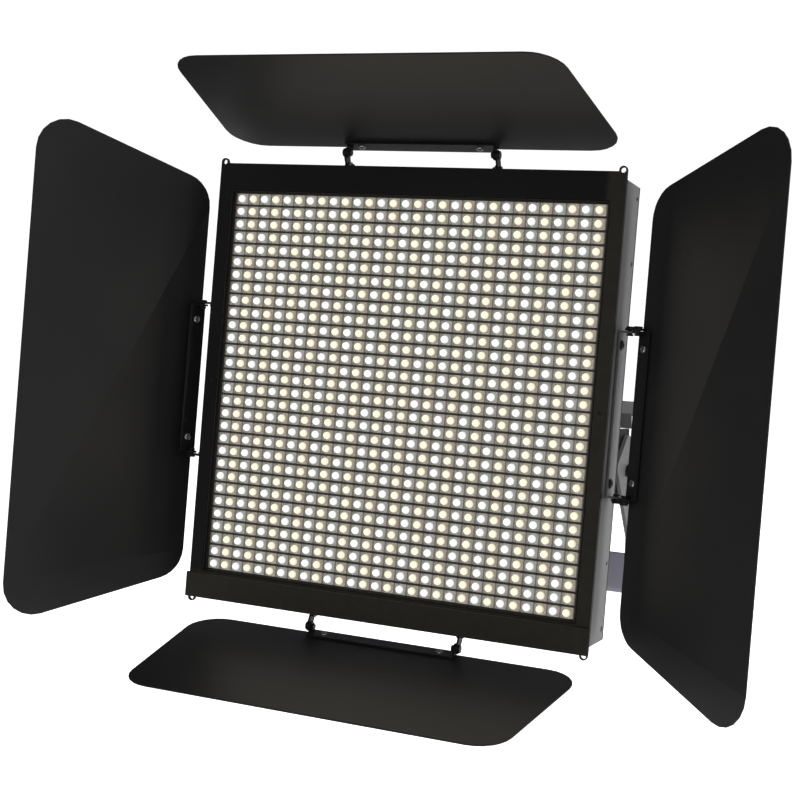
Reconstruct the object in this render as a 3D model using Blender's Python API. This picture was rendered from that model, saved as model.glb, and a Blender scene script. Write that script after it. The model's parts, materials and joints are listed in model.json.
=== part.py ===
"""LED panel light: a 30 x 30 lamp panel with four barn doors, held by a rear yoke on a stand receiver.

Units are metres, +Z is up.  The origin is the centre of the receiver's lower face, where the stand
goes in.  The panel faces -Y and leans back by TILT_ANGLE about the tilt bolts.  Panel parts are
modelled upright in the panel's own frame: its origin is the middle of the lamp field, on the plane
of the lamp tips, with X across, Y into the body and Z up.
"""
import math

import bmesh
import bpy
from mathutils import Matrix, Vector

# ---------------------------------------------------------------- fits
GAP = 0.0003                      # between pieces that rest on each other
RUNNING = 0.00045                 # around a pin or between plates that turn
SHEET = 0.0015                    # folded sheet metal

# ---------------------------------------------------------------- lamp field
LAMP_ROWS = 30
LAMP_PITCH = 0.010
LAMP_TIP_DEPTH = 0.0017           # depth of the layer that holds the lamp tips
CELL_DEPTH = 0.0057               # depth of the reflector cells
BOARD_THICK = 0.0016
BOARD_INSET = 0.001               # boards clear the casing's walls by this
SPREADER_THICK = 0.003
FIELD_HALF = LAMP_ROWS * LAMP_PITCH / 2

# ---------------------------------------------------------------- panel body
SIDE_MARGIN = 0.014               # body beyond the lamp field at each side
END_MARGIN = 0.0225               # front frame beyond the lamp field above and below
END_INSET = 0.0055                # body's upper and lower walls inside the frame's edges
BODY_WIDTH = 2 * (FIELD_HALF + SIDE_MARGIN)
FRAME_HEIGHT = 2 * (FIELD_HALF + END_MARGIN)
BODY_HEIGHT = FRAME_HEIGHT - 2 * END_INSET
BODY_DEPTH = 0.040
FRAME_THICK = 0.003
WINDOW_SIDE = 0.0035              # window beyond the lamp field at the sides
WINDOW_END = 0.0015               # and above and below it
GRID_BORDER = 0.008               # plain rim of the reflector moulding round the cells
RAIL_HEIGHT = END_MARGIN - 0.0031
RAIL_PROUD = 0.003
RAIL_OVERHANG = 0.001
RAIL_ROUND = 0.0004
TAB_REACH = 0.004                 # corner eyelets above and below the frame
TAB_WIDTH = 0.0062
TAB_HOLE = 0.0020                 # radius
COVER_THICK = 0.0015
VENT_LENGTH = 0.036
VENT_GAP = 0.012                  # between vents side by side
VENT_HEIGHT = 0.003
VENT_PITCH = 0.009
VENT_COUNT = 6
VENTS_BELOW = 0.020               # first row below the tilt ears
DRIVER_SIZE = (0.060, 0.012, 0.100)
DRIVER_OFFSET = 0.100             # from the middle of the panel
SUPPLY_SIZE = (0.100, 0.020, 0.070)

# ---------------------------------------------------------------- tilt axis, seen from the panel
TILT_ANGLE = math.radians(12.0)
TILT_DEPTH = 0.098
TILT_HEIGHT = -0.044
BOLT_RADIUS = 0.004
BOLT_HEAD_RADIUS = 0.0049
BOLT_HEAD_THICK = 0.0032
NUT_RADIUS = 0.0068
NUT_THICK = 0.006
EAR_THICK = 0.003
EAR_NOSE = 0.020                  # radius about the bolt
EAR_TOP = TILT_HEIGHT + 0.0323
EAR_BOTTOM = TILT_HEIGHT - EAR_NOSE
EAR_SHOULDER = 0.012              # upper edge ends this far behind the bolt
EAR_FOOT = 0.016                  # width of the foot that is screwed to the cover
KNOB_RADIUS = 0.019
KNOB_THICK = 0.016
KNOB_LOBES = 6
KNOB_HUB = 0.0105                 # radius
KNOB_STAND = 0.003                # hub between the arm and the grip

# ---------------------------------------------------------------- yoke
ARM_INSET = 0.009                 # arms' inner faces inside the body's sides
ARM_THICK = 0.003
ARM_FRONT = 0.027                 # front edge of the upright part, behind the bolt
ARM_BACK = 0.063
ARM_NECK = 0.0205                 # the sloping edge passes the bolt at this distance
ARM_SLOPE = math.radians(56.3)
ARM_CROWN = (0.0025, 0.0287)      # highest point of the head, from the bolt
ARM_RISE = math.radians(28.0)     # slope of the head's edges on both sides of the crown
ARM_EASE = 0.0055                 # length of each corner's rounding
ARM_CHAMFER = 0.006
BRACE_FRONT = 0.0235              # all measured from the bolt
BRACE_DEPTH = 0.046
BRACE_HEIGHT = 0.0122
BRACE_TOP = 0.0401
BAR_FRONT = 0.0145
BAR_DEPTH = 0.040
BAR_HEIGHT = 0.0353
BAR_TOP = -0.0722
BAR_WALL = 0.0025
BAR_ROUND = 0.0075
BAR_LIP = 0.014                   # height of the rear flange
CAP_THICK = 0.004

# ---------------------------------------------------------------- stand receiver
BORE_RADIUS = 0.0082
RECEIVER_LENGTH = 0.050
RECEIVER_RADIUS = BORE_RADIUS + 0.0078
RECEIVER_FLANGE = RECEIVER_RADIUS + 0.005
FLANGE_THICK = 0.004
BORE_DEPTH = RECEIVER_LENGTH - 0.010
CLAMP_HEIGHT = 0.016              # screw above the lower face
CLAMP_RADIUS = 0.004
CLAMP_GRIP = 0.013
CLAMP_REACH = 0.030               # from the receiver's wall to the end of the grip
CLAMP_COLLAR = 0.007              # radius
CLAMP_COLLAR_LENGTH = 0.006
CLAMP_SHOULDER = 0.004            # from the collar to the full grip
CLAMP_ROUND = 0.002

# ---------------------------------------------------------------- control housing
HOUSING_WIDTH = 0.150
HOUSING_LOW = 0.015
HOUSING_HIGH = 0.105
HOUSING_DEPTH = 0.022
HOUSING_WALL = 0.002
UPPER_ROW = 0.026                 # dials below the housing's top
LOWER_ROW = 0.020                 # sockets above its lower edge
CONTROL_BOARD_INSET = 0.006
CONTROL_BOARD_LOW = 0.030
CONTROL_BOARD_TOP = 0.004
CONTROL_BOARD_STAND = 0.002       # in front of the rear cover
DIAL_RADIUS = 0.010
DIAL_TOP_RADIUS = 0.0094
DIAL_THICK = 0.012
DIAL_INSET = 0.027                # axis inside the housing's side
SHAFT_RADIUS = 0.003
SHAFT_BEHIND = 0.008
BUTTON_RADIUS = 0.004
BUTTON_PROUD = 0.0022
BUTTON_BEHIND = 0.004
BUTTON_RIM = 0.001                # collar behind the plate
BUTTON_RIM_BACK = 0.0028
BUTTON_SPACING = 0.022
BUTTONS_BELOW = 0.024             # below the dials
SCREEN_SIZE = (0.040, 0.016)
SCREEN_ABOVE = 0.006              # middle above the dials
SCREEN_DEEP = 0.001
SCREEN_PROUD = 0.0004
SOCKET_RADIUS = 0.0115
SOCKET_RIM = 0.002
SOCKET_WALL = 0.0025
SOCKET_FLOOR = 0.004
SOCKET_BEHIND = 0.012
INLET_SIZE = (0.027, 0.020)
INLET_WALL = 0.0015
INLET_BEHIND = 0.014
INLET_FLOOR = 0.002
INLET_PROUD = 0.001
ROCKER_SIZE = (0.019, 0.013)
ROCKER_SINK = 0.001               # axis behind the plate's front
ROCKER_BACK = 0.0025
ROCKER_TAPER = 0.0016
ROCKER_CROWN = 0.0042
ROCKER_SLOPE = 0.0022
ROCKER_EDGE = 0.0008

# ---------------------------------------------------------------- barn doors
PIVOT_OUT = 0.007                 # frame pivot beyond the body's side
PIVOT_DEPTH = 0.016
LINK_LENGTH = 0.012
PIN_RADIUS = 0.0015
EAR_RADIUS = 0.004
BRACKET_HALF = 0.0605
BRACKET_WIDTH = 0.014
PIN_COLLAR = 0.00255              # radius of a pin's inner end
PIN_HEAD = 0.00315                # and of its head
STRIP_NEAR = -0.004               # leaf strip, measured from the leaf pivot along the leaf
STRIP_WIDTH = 0.013
LEAF_THICK = 0.0012
LEAF_OFFSET = 0.006               # leaf's middle plane outside the leaf pivot
LEAF_START = -0.002
LEAF_ROUND = 0.025
SIDE_LEAF = (0.1481, BODY_HEIGHT / 2 - 0.0084, BODY_HEIGHT / 2 + 0.0325)   # width, half length at the
END_LEAF = (0.1455, BODY_WIDTH / 2 - 0.0045, BODY_WIDTH / 2 - 0.0217)      # hinge, half length outside
DOORS = (                         # name, turn about Y, half size of the body, link, opening, leaf
    ("right", 0.0, BODY_WIDTH / 2, -49.5, 44.0, SIDE_LEAF),
    ("top", -90.0, BODY_HEIGHT / 2, -29.7, 74.9, END_LEAF),
    ("left", 180.0, BODY_WIDTH / 2, 8.8, 55.7, SIDE_LEAF),
    ("bottom", 90.0, BODY_HEIGHT / 2, -27.4, 79.3, END_LEAF),
)

# ---------------------------------------------------------------- sizes that follow
BODY_HALF = BODY_WIDTH / 2
FRAME_HALF = FRAME_HEIGHT / 2
CELL_FRONT = LAMP_TIP_DEPTH + GAP
CELL_BACK = CELL_FRONT + CELL_DEPTH
BOARD_FRONT = CELL_BACK + GAP
SPREADER_FRONT = BOARD_FRONT + BOARD_THICK + GAP
SPREADER_BACK = SPREADER_FRONT + SPREADER_THICK
COVER_FRONT = BODY_DEPTH - COVER_THICK
ARM_INNER = BODY_HALF - ARM_INSET
ARM_OUTER = ARM_INNER + ARM_THICK
EAR_OUTER = ARM_INNER - RUNNING
EAR_INNER = EAR_OUTER - EAR_THICK
PLATE_FRONT = BODY_DEPTH + HOUSING_DEPTH + GAP
PLATE_BACK = PLATE_FRONT + HOUSING_WALL
PIVOT_BEHIND = BAR_FRONT + BAR_DEPTH / 2                  # receiver's axis behind the bolt
PIVOT_ABOVE = RECEIVER_LENGTH + GAP + BAR_HEIGHT - BAR_TOP


# ================================================================ helpers
def clear_scene():
    """Remove every object that the scene holds."""
    for item in list(bpy.data.objects):
        bpy.data.objects.remove(item, do_unlink=True)


def finish(name, colour, roughness, metallic=0.0):
    """Make a Principled material."""
    made = bpy.data.materials.new(name)
    made.use_nodes = True
    shader = made.node_tree.nodes["Principled BSDF"]
    shader.inputs["Base Color"].default_value = (*colour, 1.0)
    shader.inputs["Roughness"].default_value = roughness
    shader.inputs["Metallic"].default_value = metallic
    return made


def empty(name, parent, place):
    """Add an empty that carries other objects."""
    made = bpy.data.objects.new(name, None)
    bpy.context.scene.collection.objects.link(made)
    made.parent = parent
    made.matrix_local = place
    return made


def add(name, bm, parent, surface, place=None):
    """Turn a bmesh into a named object under its parent."""
    bmesh.ops.remove_doubles(bm, verts=bm.verts, dist=1e-6)
    bmesh.ops.recalc_face_normals(bm, faces=bm.faces)
    mesh = bpy.data.meshes.new(name)
    bm.to_mesh(mesh)
    bm.free()
    mesh.shade_smooth()
    mesh.set_sharp_from_angle(angle=math.radians(35))
    mesh.materials.append(surface)
    made = bpy.data.objects.new(name, mesh)
    bpy.context.scene.collection.objects.link(made)
    made.parent = parent
    if place is not None:
        made.matrix_local = place
    return made


def block(name, low, high, parent, surface, round_by=0.0):
    """Add a box between two corners, with its edges rounded where asked."""
    bm = bmesh.new()
    middle = (Vector(low) + Vector(high)) / 2
    size = Vector(high) - Vector(low)
    bmesh.ops.create_cube(bm, size=1.0, matrix=Matrix.Translation(middle) @ Matrix.Diagonal((*size, 1.0)))
    if round_by:
        bmesh.ops.bevel(bm, geom=bm.edges, offset=round_by, segments=2, profile=0.5, affect="EDGES")
    return add(name, bm, parent, surface)


def circle(centre, radius, steps=20):
    """Points of a circle."""
    turns = [2 * math.pi * i / steps for i in range(steps)]
    return [(centre[0] + radius * math.cos(t), centre[1] + radius * math.sin(t)) for t in turns]


def arc(centre, radius, start, end, steps=8):
    """Points of an arc from start to end, in radians."""
    turns = [start + (end - start) * i / steps for i in range(steps + 1)]
    return [(centre[0] + radius * math.cos(t), centre[1] + radius * math.sin(t)) for t in turns]


def rectangle(left, low, right, high):
    """Points of a rectangle."""
    return [(left, low), (right, low), (right, high), (left, high)]


def rounded(corners, radius, steps=6):
    """Points of a convex outline whose corners are rounded by one radius."""
    points = []
    for index, corner in enumerate(corners):
        here = Vector(corner)
        before = (Vector(corners[index - 1]) - here).normalized()
        after = (Vector(corners[(index + 1) % len(corners)]) - here).normalized()
        half = before.angle(after) / 2
        centre = here + (before + after).normalized() * radius / math.sin(half)
        first = here + before * radius / math.tan(half) - centre
        last = here + after * radius / math.tan(half) - centre
        sweep = first.angle_signed(last)
        for i in range(steps + 1):
            points.append(tuple(centre + Matrix.Rotation(-sweep * i / steps, 2) @ first))
    return points


def slot_outline(first, second, radius, steps=6):
    """Points of an outline with a round end about each of two centres."""
    along = math.atan2(second[1] - first[1], second[0] - first[0])
    quarter = math.pi / 2
    far_end = arc(second, radius, along - quarter, along + quarter, steps)
    return far_end + arc(first, radius, along + quarter, along + 3 * quarter, steps)


def extruded(loops, low, high, axis="Y"):
    """Extrude an outside outline, less its holes, between two levels of an axis.

    The outline's two coordinates are the axes that follow: (x, z) for Y, (y, z) for X, (x, y) for Z.
    """
    order = {"X": lambda u, v, w: (w, u, v), "Y": lambda u, v, w: (u, w, v), "Z": lambda u, v, w: (u, v, w)}
    bm = bmesh.new()
    edges = []
    for loop in loops:
        verts = [bm.verts.new(order[axis](u, v, low)) for u, v in loop]
        edges += [bm.edges.new((verts[i - 1], verts[i])) for i in range(len(verts))]
    bmesh.ops.triangle_fill(bm, use_beauty=True, edges=edges)
    grown = bmesh.ops.extrude_face_region(bm, geom=list(bm.faces))["geom"]
    moved = [item for item in grown if isinstance(item, bmesh.types.BMVert)]
    bmesh.ops.translate(bm, verts=moved, vec=order[axis](0.0, 0.0, high - low))
    return bm


def plate(name, loops, low, high, parent, surface, axis="Y"):
    """Add an extruded outline with holes."""
    return add(name, extruded(loops, low, high, axis), parent, surface)


def turned(name, profile, parent, surface, place=None, steps=24):
    """Turn a profile of (radius, height) points about Z; its ends lie on the axis or meet."""
    bm = bmesh.new()
    verts = [bm.verts.new((radius, 0.0, height)) for radius, height in profile]
    edges = [bm.edges.new(pair) for pair in zip(verts, verts[1:])]
    if profile[0][0] > 0:
        edges.append(bm.edges.new((verts[-1], verts[0])))
    bmesh.ops.spin(bm, geom=verts + edges, axis=(0, 0, 1), cent=(0, 0, 0), angle=2 * math.pi, steps=steps,
                   use_merge=True)
    return add(name, bm, parent, surface, place)


def joined(target, other):
    """Join a second solid into a piece and leave the second out of the model."""
    change(target, other, "UNION")


def cut(target, cutter):
    """Cut a second solid out of a piece and leave the second out of the model."""
    change(target, cutter, "DIFFERENCE")


def change(target, other, operation):
    """Add a Boolean modifier that uses a guide object."""
    other.hide_render = True
    other.display_type = "WIRE"
    step = target.modifiers.new(operation.lower(), "BOOLEAN")
    step.operation = operation
    step.object = other


def along_x(x, y, z):
    """Place a turned piece with its axis along +X."""
    return Matrix.Translation((x, y, z)) @ Matrix.Rotation(math.pi / 2, 4, "Y")


def along_y(x, y, z):
    """Place a turned piece with its axis along +Y."""
    return Matrix.Translation((x, y, z)) @ Matrix.Rotation(-math.pi / 2, 4, "X")


# ================================================================ panel
def build_front(panel, paint):
    """Front frame with its window and corner eyelets, and the rail along its lower edge."""
    tab = TAB_WIDTH / 2
    reach = FRAME_HALF + TAB_REACH
    outline = []
    for side, rise in ((1, -1), (1, 1), (-1, 1), (-1, -1)):
        centre = (side * (BODY_HALF - tab), rise * (reach - tab))
        inner = (side * (BODY_HALF - TAB_WIDTH), rise * FRAME_HALF)
        if side * rise < 0:
            turn = -math.pi if rise < 0 else 0.0
            outline += [inner] + arc(centre, tab, turn, turn + math.pi)
        else:
            turn = 0.0 if rise > 0 else math.pi
            outline += arc(centre, tab, turn, turn + math.pi) + [inner]
    wide, tall = FIELD_HALF + WINDOW_SIDE, FIELD_HALF + WINDOW_END
    holes = [rectangle(-wide, -tall, wide, tall)]
    for side in (-1, 1):
        for rise in (-1, 1):
            holes.append(circle((side * (BODY_HALF - tab), rise * (reach - tab)), TAB_HOLE, 12))
    plate("front_frame", [outline] + holes, -FRAME_THICK, 0.0, panel, paint)
    block("bottom_rail", (-BODY_HALF - RAIL_OVERHANG, -FRAME_THICK - GAP - RAIL_PROUD, -FRAME_HALF),
          (BODY_HALF + RAIL_OVERHANG, -FRAME_THICK - GAP, -FRAME_HALF + RAIL_HEIGHT), panel, paint, RAIL_ROUND)


def build_casing(panel, paint):
    """Four walls of the body and the vented cover behind them."""
    wide, tall = BODY_HALF, BODY_HEIGHT / 2
    walls = [rectangle(-wide, -tall, wide, tall),
             rectangle(-wide + SHEET, -tall + SHEET, wide - SHEET, tall - SHEET)]
    plate("side_casing", walls, GAP, COVER_FRONT - GAP, panel, paint)
    vents = []
    for row in range(VENT_COUNT):
        for side in (-1, 0, 1):
            height = EAR_BOTTOM - VENTS_BELOW - row * VENT_PITCH
            start = side * (VENT_LENGTH + VENT_GAP) - VENT_LENGTH / 2
            vents.append(rectangle(start, height, start + VENT_LENGTH, height + VENT_HEIGHT))
    plate("rear_cover", [rectangle(-wide, -tall, wide, tall)] + vents, COVER_FRONT, BODY_DEPTH, panel, paint)


def build_lamps(panel, clear, grid, board, metal):
    """Layers behind the window: lamp tips, reflector cells, lamp board and heat spreader."""
    half = FIELD_HALF
    rim = FIELD_HALF + GRID_BORDER
    border = BODY_HALF - SHEET - BOARD_INSET
    block("led_array", (-half, 0.0, -half), (half, LAMP_TIP_DEPTH, half), panel, clear)
    block("reflector_grid", (-rim, CELL_FRONT, -rim), (rim, CELL_BACK, rim), panel, grid)
    block("led_board", (-border, BOARD_FRONT, -border), (border, BOARD_FRONT + BOARD_THICK, border), panel, board)
    block("heat_spreader", (-border, SPREADER_FRONT, -border), (border, SPREADER_BACK, border), panel, metal)


def build_electronics(panel, board, metal):
    """Boards and supply between the heat spreader and the rear cover."""
    front = SPREADER_BACK + GAP
    wide, deep, tall = DRIVER_SIZE
    for side, word in ((-1, "left"), (1, "right")):
        middle = side * DRIVER_OFFSET
        block(f"driver_board_{word}", (middle - wide / 2, front, -tall / 2),
              (middle + wide / 2, front + deep, tall / 2), panel, board, 0.0005)
    wide, deep, tall = SUPPLY_SIZE
    block("power_supply", (-wide / 2, front, -tall), (wide / 2, front + deep, 0.0), panel, metal, 0.001)


def build_ears(panel, paint):
    """Two folded brackets on the rear cover that carry the tilt bolts."""
    for side, word in ((-1, "left"), (1, "right")):
        hole = circle((TILT_DEPTH, TILT_HEIGHT), BOLT_RADIUS + RUNNING)
        foot = BODY_DEPTH + GAP
        nose = arc((TILT_DEPTH, TILT_HEIGHT), EAR_NOSE, -math.pi / 2, math.radians(15), 12)
        outline = [(foot, EAR_BOTTOM)] + nose + [(TILT_DEPTH + EAR_SHOULDER, EAR_TOP), (foot, EAR_TOP)]
        low, high = sorted((side * EAR_INNER, side * EAR_OUTER))
        ear = plate(f"tilt_ear_{word}", [outline, hole], low, high, panel, paint, "X")
        near, far = sorted((side * (EAR_INNER - EAR_FOOT), side * (EAR_INNER + EAR_THICK / 2)))
        joined(ear, block(f"tilt_ear_{word}_foot", (near, foot, EAR_BOTTOM), (far, foot + EAR_THICK, EAR_TOP),
                          panel, paint))


def spread(widths, span):
    """Middles of pieces set in a row with equal spaces between them and at the ends."""
    space = (span - sum(widths)) / (len(widths) + 1)
    middles = []
    reach = -span / 2
    for width in widths:
        middles.append(reach + space + width / 2)
        reach += space + width
    return middles


def build_controls(panel, paint, dark, plastic, metal, glass):
    """Housing on the rear cover with its plate, dials, buttons, switch and sockets."""
    half = HOUSING_WIDTH / 2
    low, high, wall = HOUSING_LOW, HOUSING_HIGH, HOUSING_WALL
    front = BODY_DEPTH + GAP
    walls = [rectangle(-half, low, half, high), rectangle(-half + wall, low + wall, half - wall, high - wall)]
    plate("control_housing", walls, front, PLATE_FRONT - GAP, panel, paint)
    side, level = half - CONTROL_BOARD_INSET, front + CONTROL_BOARD_STAND
    block("control_board", (-side, level, low + CONTROL_BOARD_LOW),
          (side, level + BOARD_THICK, high - CONTROL_BOARD_TOP), panel, plastic["board"])
    upper, lower = high - UPPER_ROW, low + LOWER_ROW
    rim = 2 * (SOCKET_RADIUS + SOCKET_RIM)
    switch_x, inlet_x, in_x, out_x = spread((ROCKER_SIZE[0], INLET_SIZE[0], rim, rim), HOUSING_WIDTH)
    dials = {"dimmer_dial": (DIAL_INSET - half, upper), "colour_dial": (half - DIAL_INSET, upper)}
    level = upper - BUTTONS_BELOW
    buttons = {"menu_button": (-BUTTON_SPACING / 2, level), "set_button": (BUTTON_SPACING / 2, level)}
    sockets = {"data_in_socket": (in_x, lower), "data_out_socket": (out_x, lower)}
    screen = (0.0, upper + SCREEN_ABOVE)
    holes = [circle(at, SHAFT_RADIUS + RUNNING, 16) for at in dials.values()]
    holes += [circle(at, BUTTON_RADIUS + RUNNING, 16) for at in buttons.values()]
    holes += [circle(at, SOCKET_RADIUS + RUNNING) for at in sockets.values()]
    windows = (((inlet_x, lower), INLET_SIZE), ((switch_x, lower), ROCKER_SIZE), (screen, SCREEN_SIZE))
    for (x, z), (wide, tall) in windows:
        wide, tall = wide / 2 + RUNNING, tall / 2 + RUNNING
        holes.append(rectangle(x - wide, z - tall, x + wide, z + tall))
    plate("control_plate", [rectangle(-half, low, half, high)] + holes, PLATE_FRONT, PLATE_BACK, panel, dark)
    seat = HOUSING_WALL + 2 * GAP
    for name, (x, z) in dials.items():
        profile = [(0, -SHAFT_BEHIND), (SHAFT_RADIUS, -SHAFT_BEHIND), (SHAFT_RADIUS, seat), (DIAL_RADIUS, seat),
                   (DIAL_TOP_RADIUS, DIAL_THICK), (0, DIAL_THICK)]
        turned(name, profile, panel, dark, along_y(x, PLATE_FRONT, z))
    collar, top = BUTTON_RADIUS + BUTTON_RIM, HOUSING_WALL + BUTTON_PROUD
    for name, (x, z) in buttons.items():
        profile = [(0, -BUTTON_BEHIND), (collar, -BUTTON_BEHIND), (collar, -BUTTON_RIM_BACK),
                   (BUTTON_RADIUS, -BUTTON_RIM_BACK), (BUTTON_RADIUS, top), (0, top)]
        turned(name, profile, panel, plastic["grey"], along_y(x, PLATE_FRONT, z), 20)
    seat = HOUSING_WALL + GAP
    bore = SOCKET_RADIUS - SOCKET_WALL
    for name, (x, z) in sockets.items():
        profile = [(0, -SOCKET_BEHIND), (SOCKET_RADIUS, -SOCKET_BEHIND), (SOCKET_RADIUS, seat), (rim / 2, seat),
                   (rim / 2, seat + SOCKET_RIM), (bore, seat + SOCKET_RIM), (bore, -SOCKET_FLOOR), (0, -SOCKET_FLOOR)]
        turned(name, profile, panel, metal, along_y(x, PLATE_FRONT, z))
    build_inlet(panel, dark, inlet_x, lower)
    build_rocker(panel, dark, switch_x, lower)
    (x, z), (wide, tall) = screen, SCREEN_SIZE
    block("display_window", (x - wide / 2, PLATE_FRONT - SCREEN_DEEP, z - tall / 2),
          (x + wide / 2, PLATE_BACK + SCREEN_PROUD, z + tall / 2), panel, glass, 0.0002)


def build_inlet(panel, surface, x, z):
    """Mains inlet: a shell with a deep mouth."""
    wide, tall = INLET_SIZE[0] / 2, INLET_SIZE[1] / 2
    back = PLATE_BACK + INLET_PROUD
    inlet = block("power_inlet", (x - wide, PLATE_FRONT - INLET_BEHIND, z - tall), (x + wide, back, z + tall),
                  panel, surface)
    wide, tall = wide - INLET_WALL, tall - INLET_WALL
    cut(inlet, block("power_inlet_mouth", (x - wide, PLATE_FRONT - INLET_BEHIND + INLET_FLOOR, z - tall),
                     (x + wide, back + INLET_PROUD, z + tall), panel, surface))


def build_rocker(panel, surface, x, z):
    """Rocker that turns about a level axis through the control plate."""
    wide, tall = ROCKER_SIZE[0] / 2, ROCKER_SIZE[1] / 2
    pivot = empty("rocker_axis", panel, Matrix.Translation((x, PLATE_FRONT - ROCKER_SINK, z)))
    raised, edge = ROCKER_CROWN - ROCKER_SLOPE, tall - ROCKER_EDGE
    outline = [(-ROCKER_BACK, ROCKER_TAPER - tall), (-ROCKER_BACK, tall - ROCKER_TAPER), (raised, edge),
               (ROCKER_CROWN - ROCKER_SLOPE / 4, 0.0), (ROCKER_CROWN, -edge)]
    plate("power_rocker", [outline], GAP - wide, wide - GAP, pivot, surface, "X")


# ================================================================ barn doors
def build_door(panel, door, paint, steel):
    """One leaf on its two links, with a bracket on the body and a strip on the leaf."""
    name, turn, half, link_angle, opening, leaf = door
    base = Matrix.Rotation(math.radians(turn), 4, "Y") @ Matrix.Translation((half, 0.0, 0.0))
    frame = empty(f"{name}_door_frame", panel, base)
    swing = Matrix.Translation((PIVOT_OUT, PIVOT_DEPTH, 0.0)) @ Matrix.Rotation(math.radians(link_angle), 4, "Z")
    links = empty(f"{name}_link_axis", frame, swing)
    fold = Matrix.Translation((LINK_LENGTH, 0.0, 0.0))
    fold = fold @ Matrix.Rotation(-math.radians(opening + link_angle), 4, "Z")
    hinge = empty(f"{name}_leaf_axis", links, fold)
    build_bracket(frame, f"{name}_body_bracket", steel)
    for side, word in ((-1, "a"), (1, "b")):
        build_link(links, f"{name}_link_{word}", side, steel)
    build_strip(hinge, f"{name}_leaf_bracket", steel)
    build_leaf(hinge, f"{name}_leaf", leaf, paint)


def turned_ears(piece, parent, centre, reach, level, surface):
    """Join an ear to each end of a strip; its round end is about the pivot and has the pin's hole."""
    for side, word in ((-1, "a"), (1, "b")):
        low, high = sorted((side * (BRACKET_HALF - SHEET), side * BRACKET_HALF))
        hole = circle(centre, PIN_RADIUS + RUNNING, 12)
        end = arc(centre, EAR_RADIUS, reach - math.pi / 2, reach + math.pi / 2, 8)
        away = Vector((math.cos(reach), math.sin(reach)))
        root = [tuple(Vector(point) - away * level) for point in (end[-1], end[0])]
        joined(piece, plate(f"{piece.name}_ear_{word}", [end + root, hole], low, high, parent, surface, "Z"))


def build_bracket(frame, name, steel):
    """Strip on the body's side with an ear turned out at each end."""
    half = BRACKET_WIDTH / 2
    strip = block(name, (GAP, PIVOT_DEPTH - half, -BRACKET_HALF), (GAP + SHEET, PIVOT_DEPTH + half, BRACKET_HALF),
                  frame, steel)
    turned_ears(strip, frame, (PIVOT_OUT, PIVOT_DEPTH), 0.0, PIVOT_OUT - GAP - SHEET / 2, steel)


def build_link(links, name, side, steel):
    """Link plate outside the ears, with its two pins."""
    inner = BRACKET_HALF + RUNNING
    low, high = sorted((side * inner, side * (inner + SHEET)))
    body = plate(name, [slot_outline((0.0, 0.0), (LINK_LENGTH, 0.0), EAR_RADIUS)], low, high, links, steel, "Z")
    tip = BRACKET_HALF - SHEET - RUNNING
    for at, word in ((0.0, "near"), (LINK_LENGTH, "far")):
        ends = (tip - SHEET, tip, inner + SHEET / 2, inner + 2 * SHEET)
        profile = [(0, ends[0]), (PIN_COLLAR, ends[0]), (PIN_COLLAR, ends[1]), (PIN_RADIUS, ends[1]),
                   (PIN_RADIUS, ends[2]), (PIN_HEAD, ends[2]), (PIN_HEAD, ends[3]), (0, ends[3])]
        flip = Matrix.Diagonal((1, side, side, 1))
        joined(body, turned(f"{name}_{word}_pin", profile, links, steel, Matrix.Translation((at, 0, 0)) @ flip, 12))


def build_strip(hinge, name, steel):
    """Strip on the leaf's inner face with an ear turned in at each end."""
    outer = LEAF_OFFSET - LEAF_THICK / 2 - GAP
    strip = block(name, (STRIP_NEAR, outer - SHEET, -BRACKET_HALF),
                  (STRIP_NEAR + STRIP_WIDTH, outer, BRACKET_HALF), hinge, steel)
    turned_ears(strip, hinge, (0.0, 0.0), -math.pi / 2, outer - SHEET / 2, steel)


def build_leaf(hinge, name, leaf, paint):
    """Sheet leaf with rounded corners."""
    width, near, far = leaf
    start, end = LEAF_START, LEAF_START + width
    corners = [(start, -near), (end, -far), (end, far), (start, near)]
    outline = rounded(corners, LEAF_ROUND)
    plate(name, [outline], LEAF_OFFSET - LEAF_THICK / 2, LEAF_OFFSET + LEAF_THICK / 2, hinge, paint, "Y")


# ================================================================ yoke
def eased(before, corner, after, steps=6):
    """Points of a smooth turn from one point to another, pulled towards the corner between them."""
    before, corner, after = Vector(before), Vector(corner), Vector(after)
    turns = [i / steps for i in range(steps + 1)]
    return [tuple(before * (1 - t) ** 2 + corner * (2 * t * (1 - t)) + after * t * t) for t in turns]


def arm_outline():
    """Side view of an arm in (y, z) from the bolt: a head about the bolt on an upright plate."""
    slope = Vector((math.cos(ARM_SLOPE), -math.sin(ARM_SLOPE)))
    rise = Vector((math.cos(ARM_RISE), math.sin(ARM_RISE)))
    fall = Vector((rise.x, -rise.y))
    crown = Vector(ARM_CROWN)
    neck = -ARM_NECK * Vector((math.sin(ARM_SLOPE), math.cos(ARM_SLOPE)))
    meet = neck + slope * (BAR_FRONT - neck.x) / slope.x
    back = (crown - neck).cross(slope) / rise.cross(slope)
    front = crown - rise * back
    shoulder = crown + fall * (ARM_FRONT - crown.x) / fall.x
    outline = eased(front + slope * ARM_EASE, front, front + rise * ARM_EASE)
    outline += eased(crown - rise * ARM_EASE, crown, crown + fall * ARM_EASE)
    low, far = BAR_TOP - BAR_HEIGHT, BAR_FRONT + BAR_DEPTH
    return outline + [tuple(shoulder), (ARM_FRONT, BRACE_TOP), (ARM_BACK, BRACE_TOP), (ARM_BACK, BAR_TOP),
                      (far, low), (BAR_FRONT + ARM_CHAMFER, low), (BAR_FRONT, low + ARM_CHAMFER), tuple(meet)]


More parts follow.
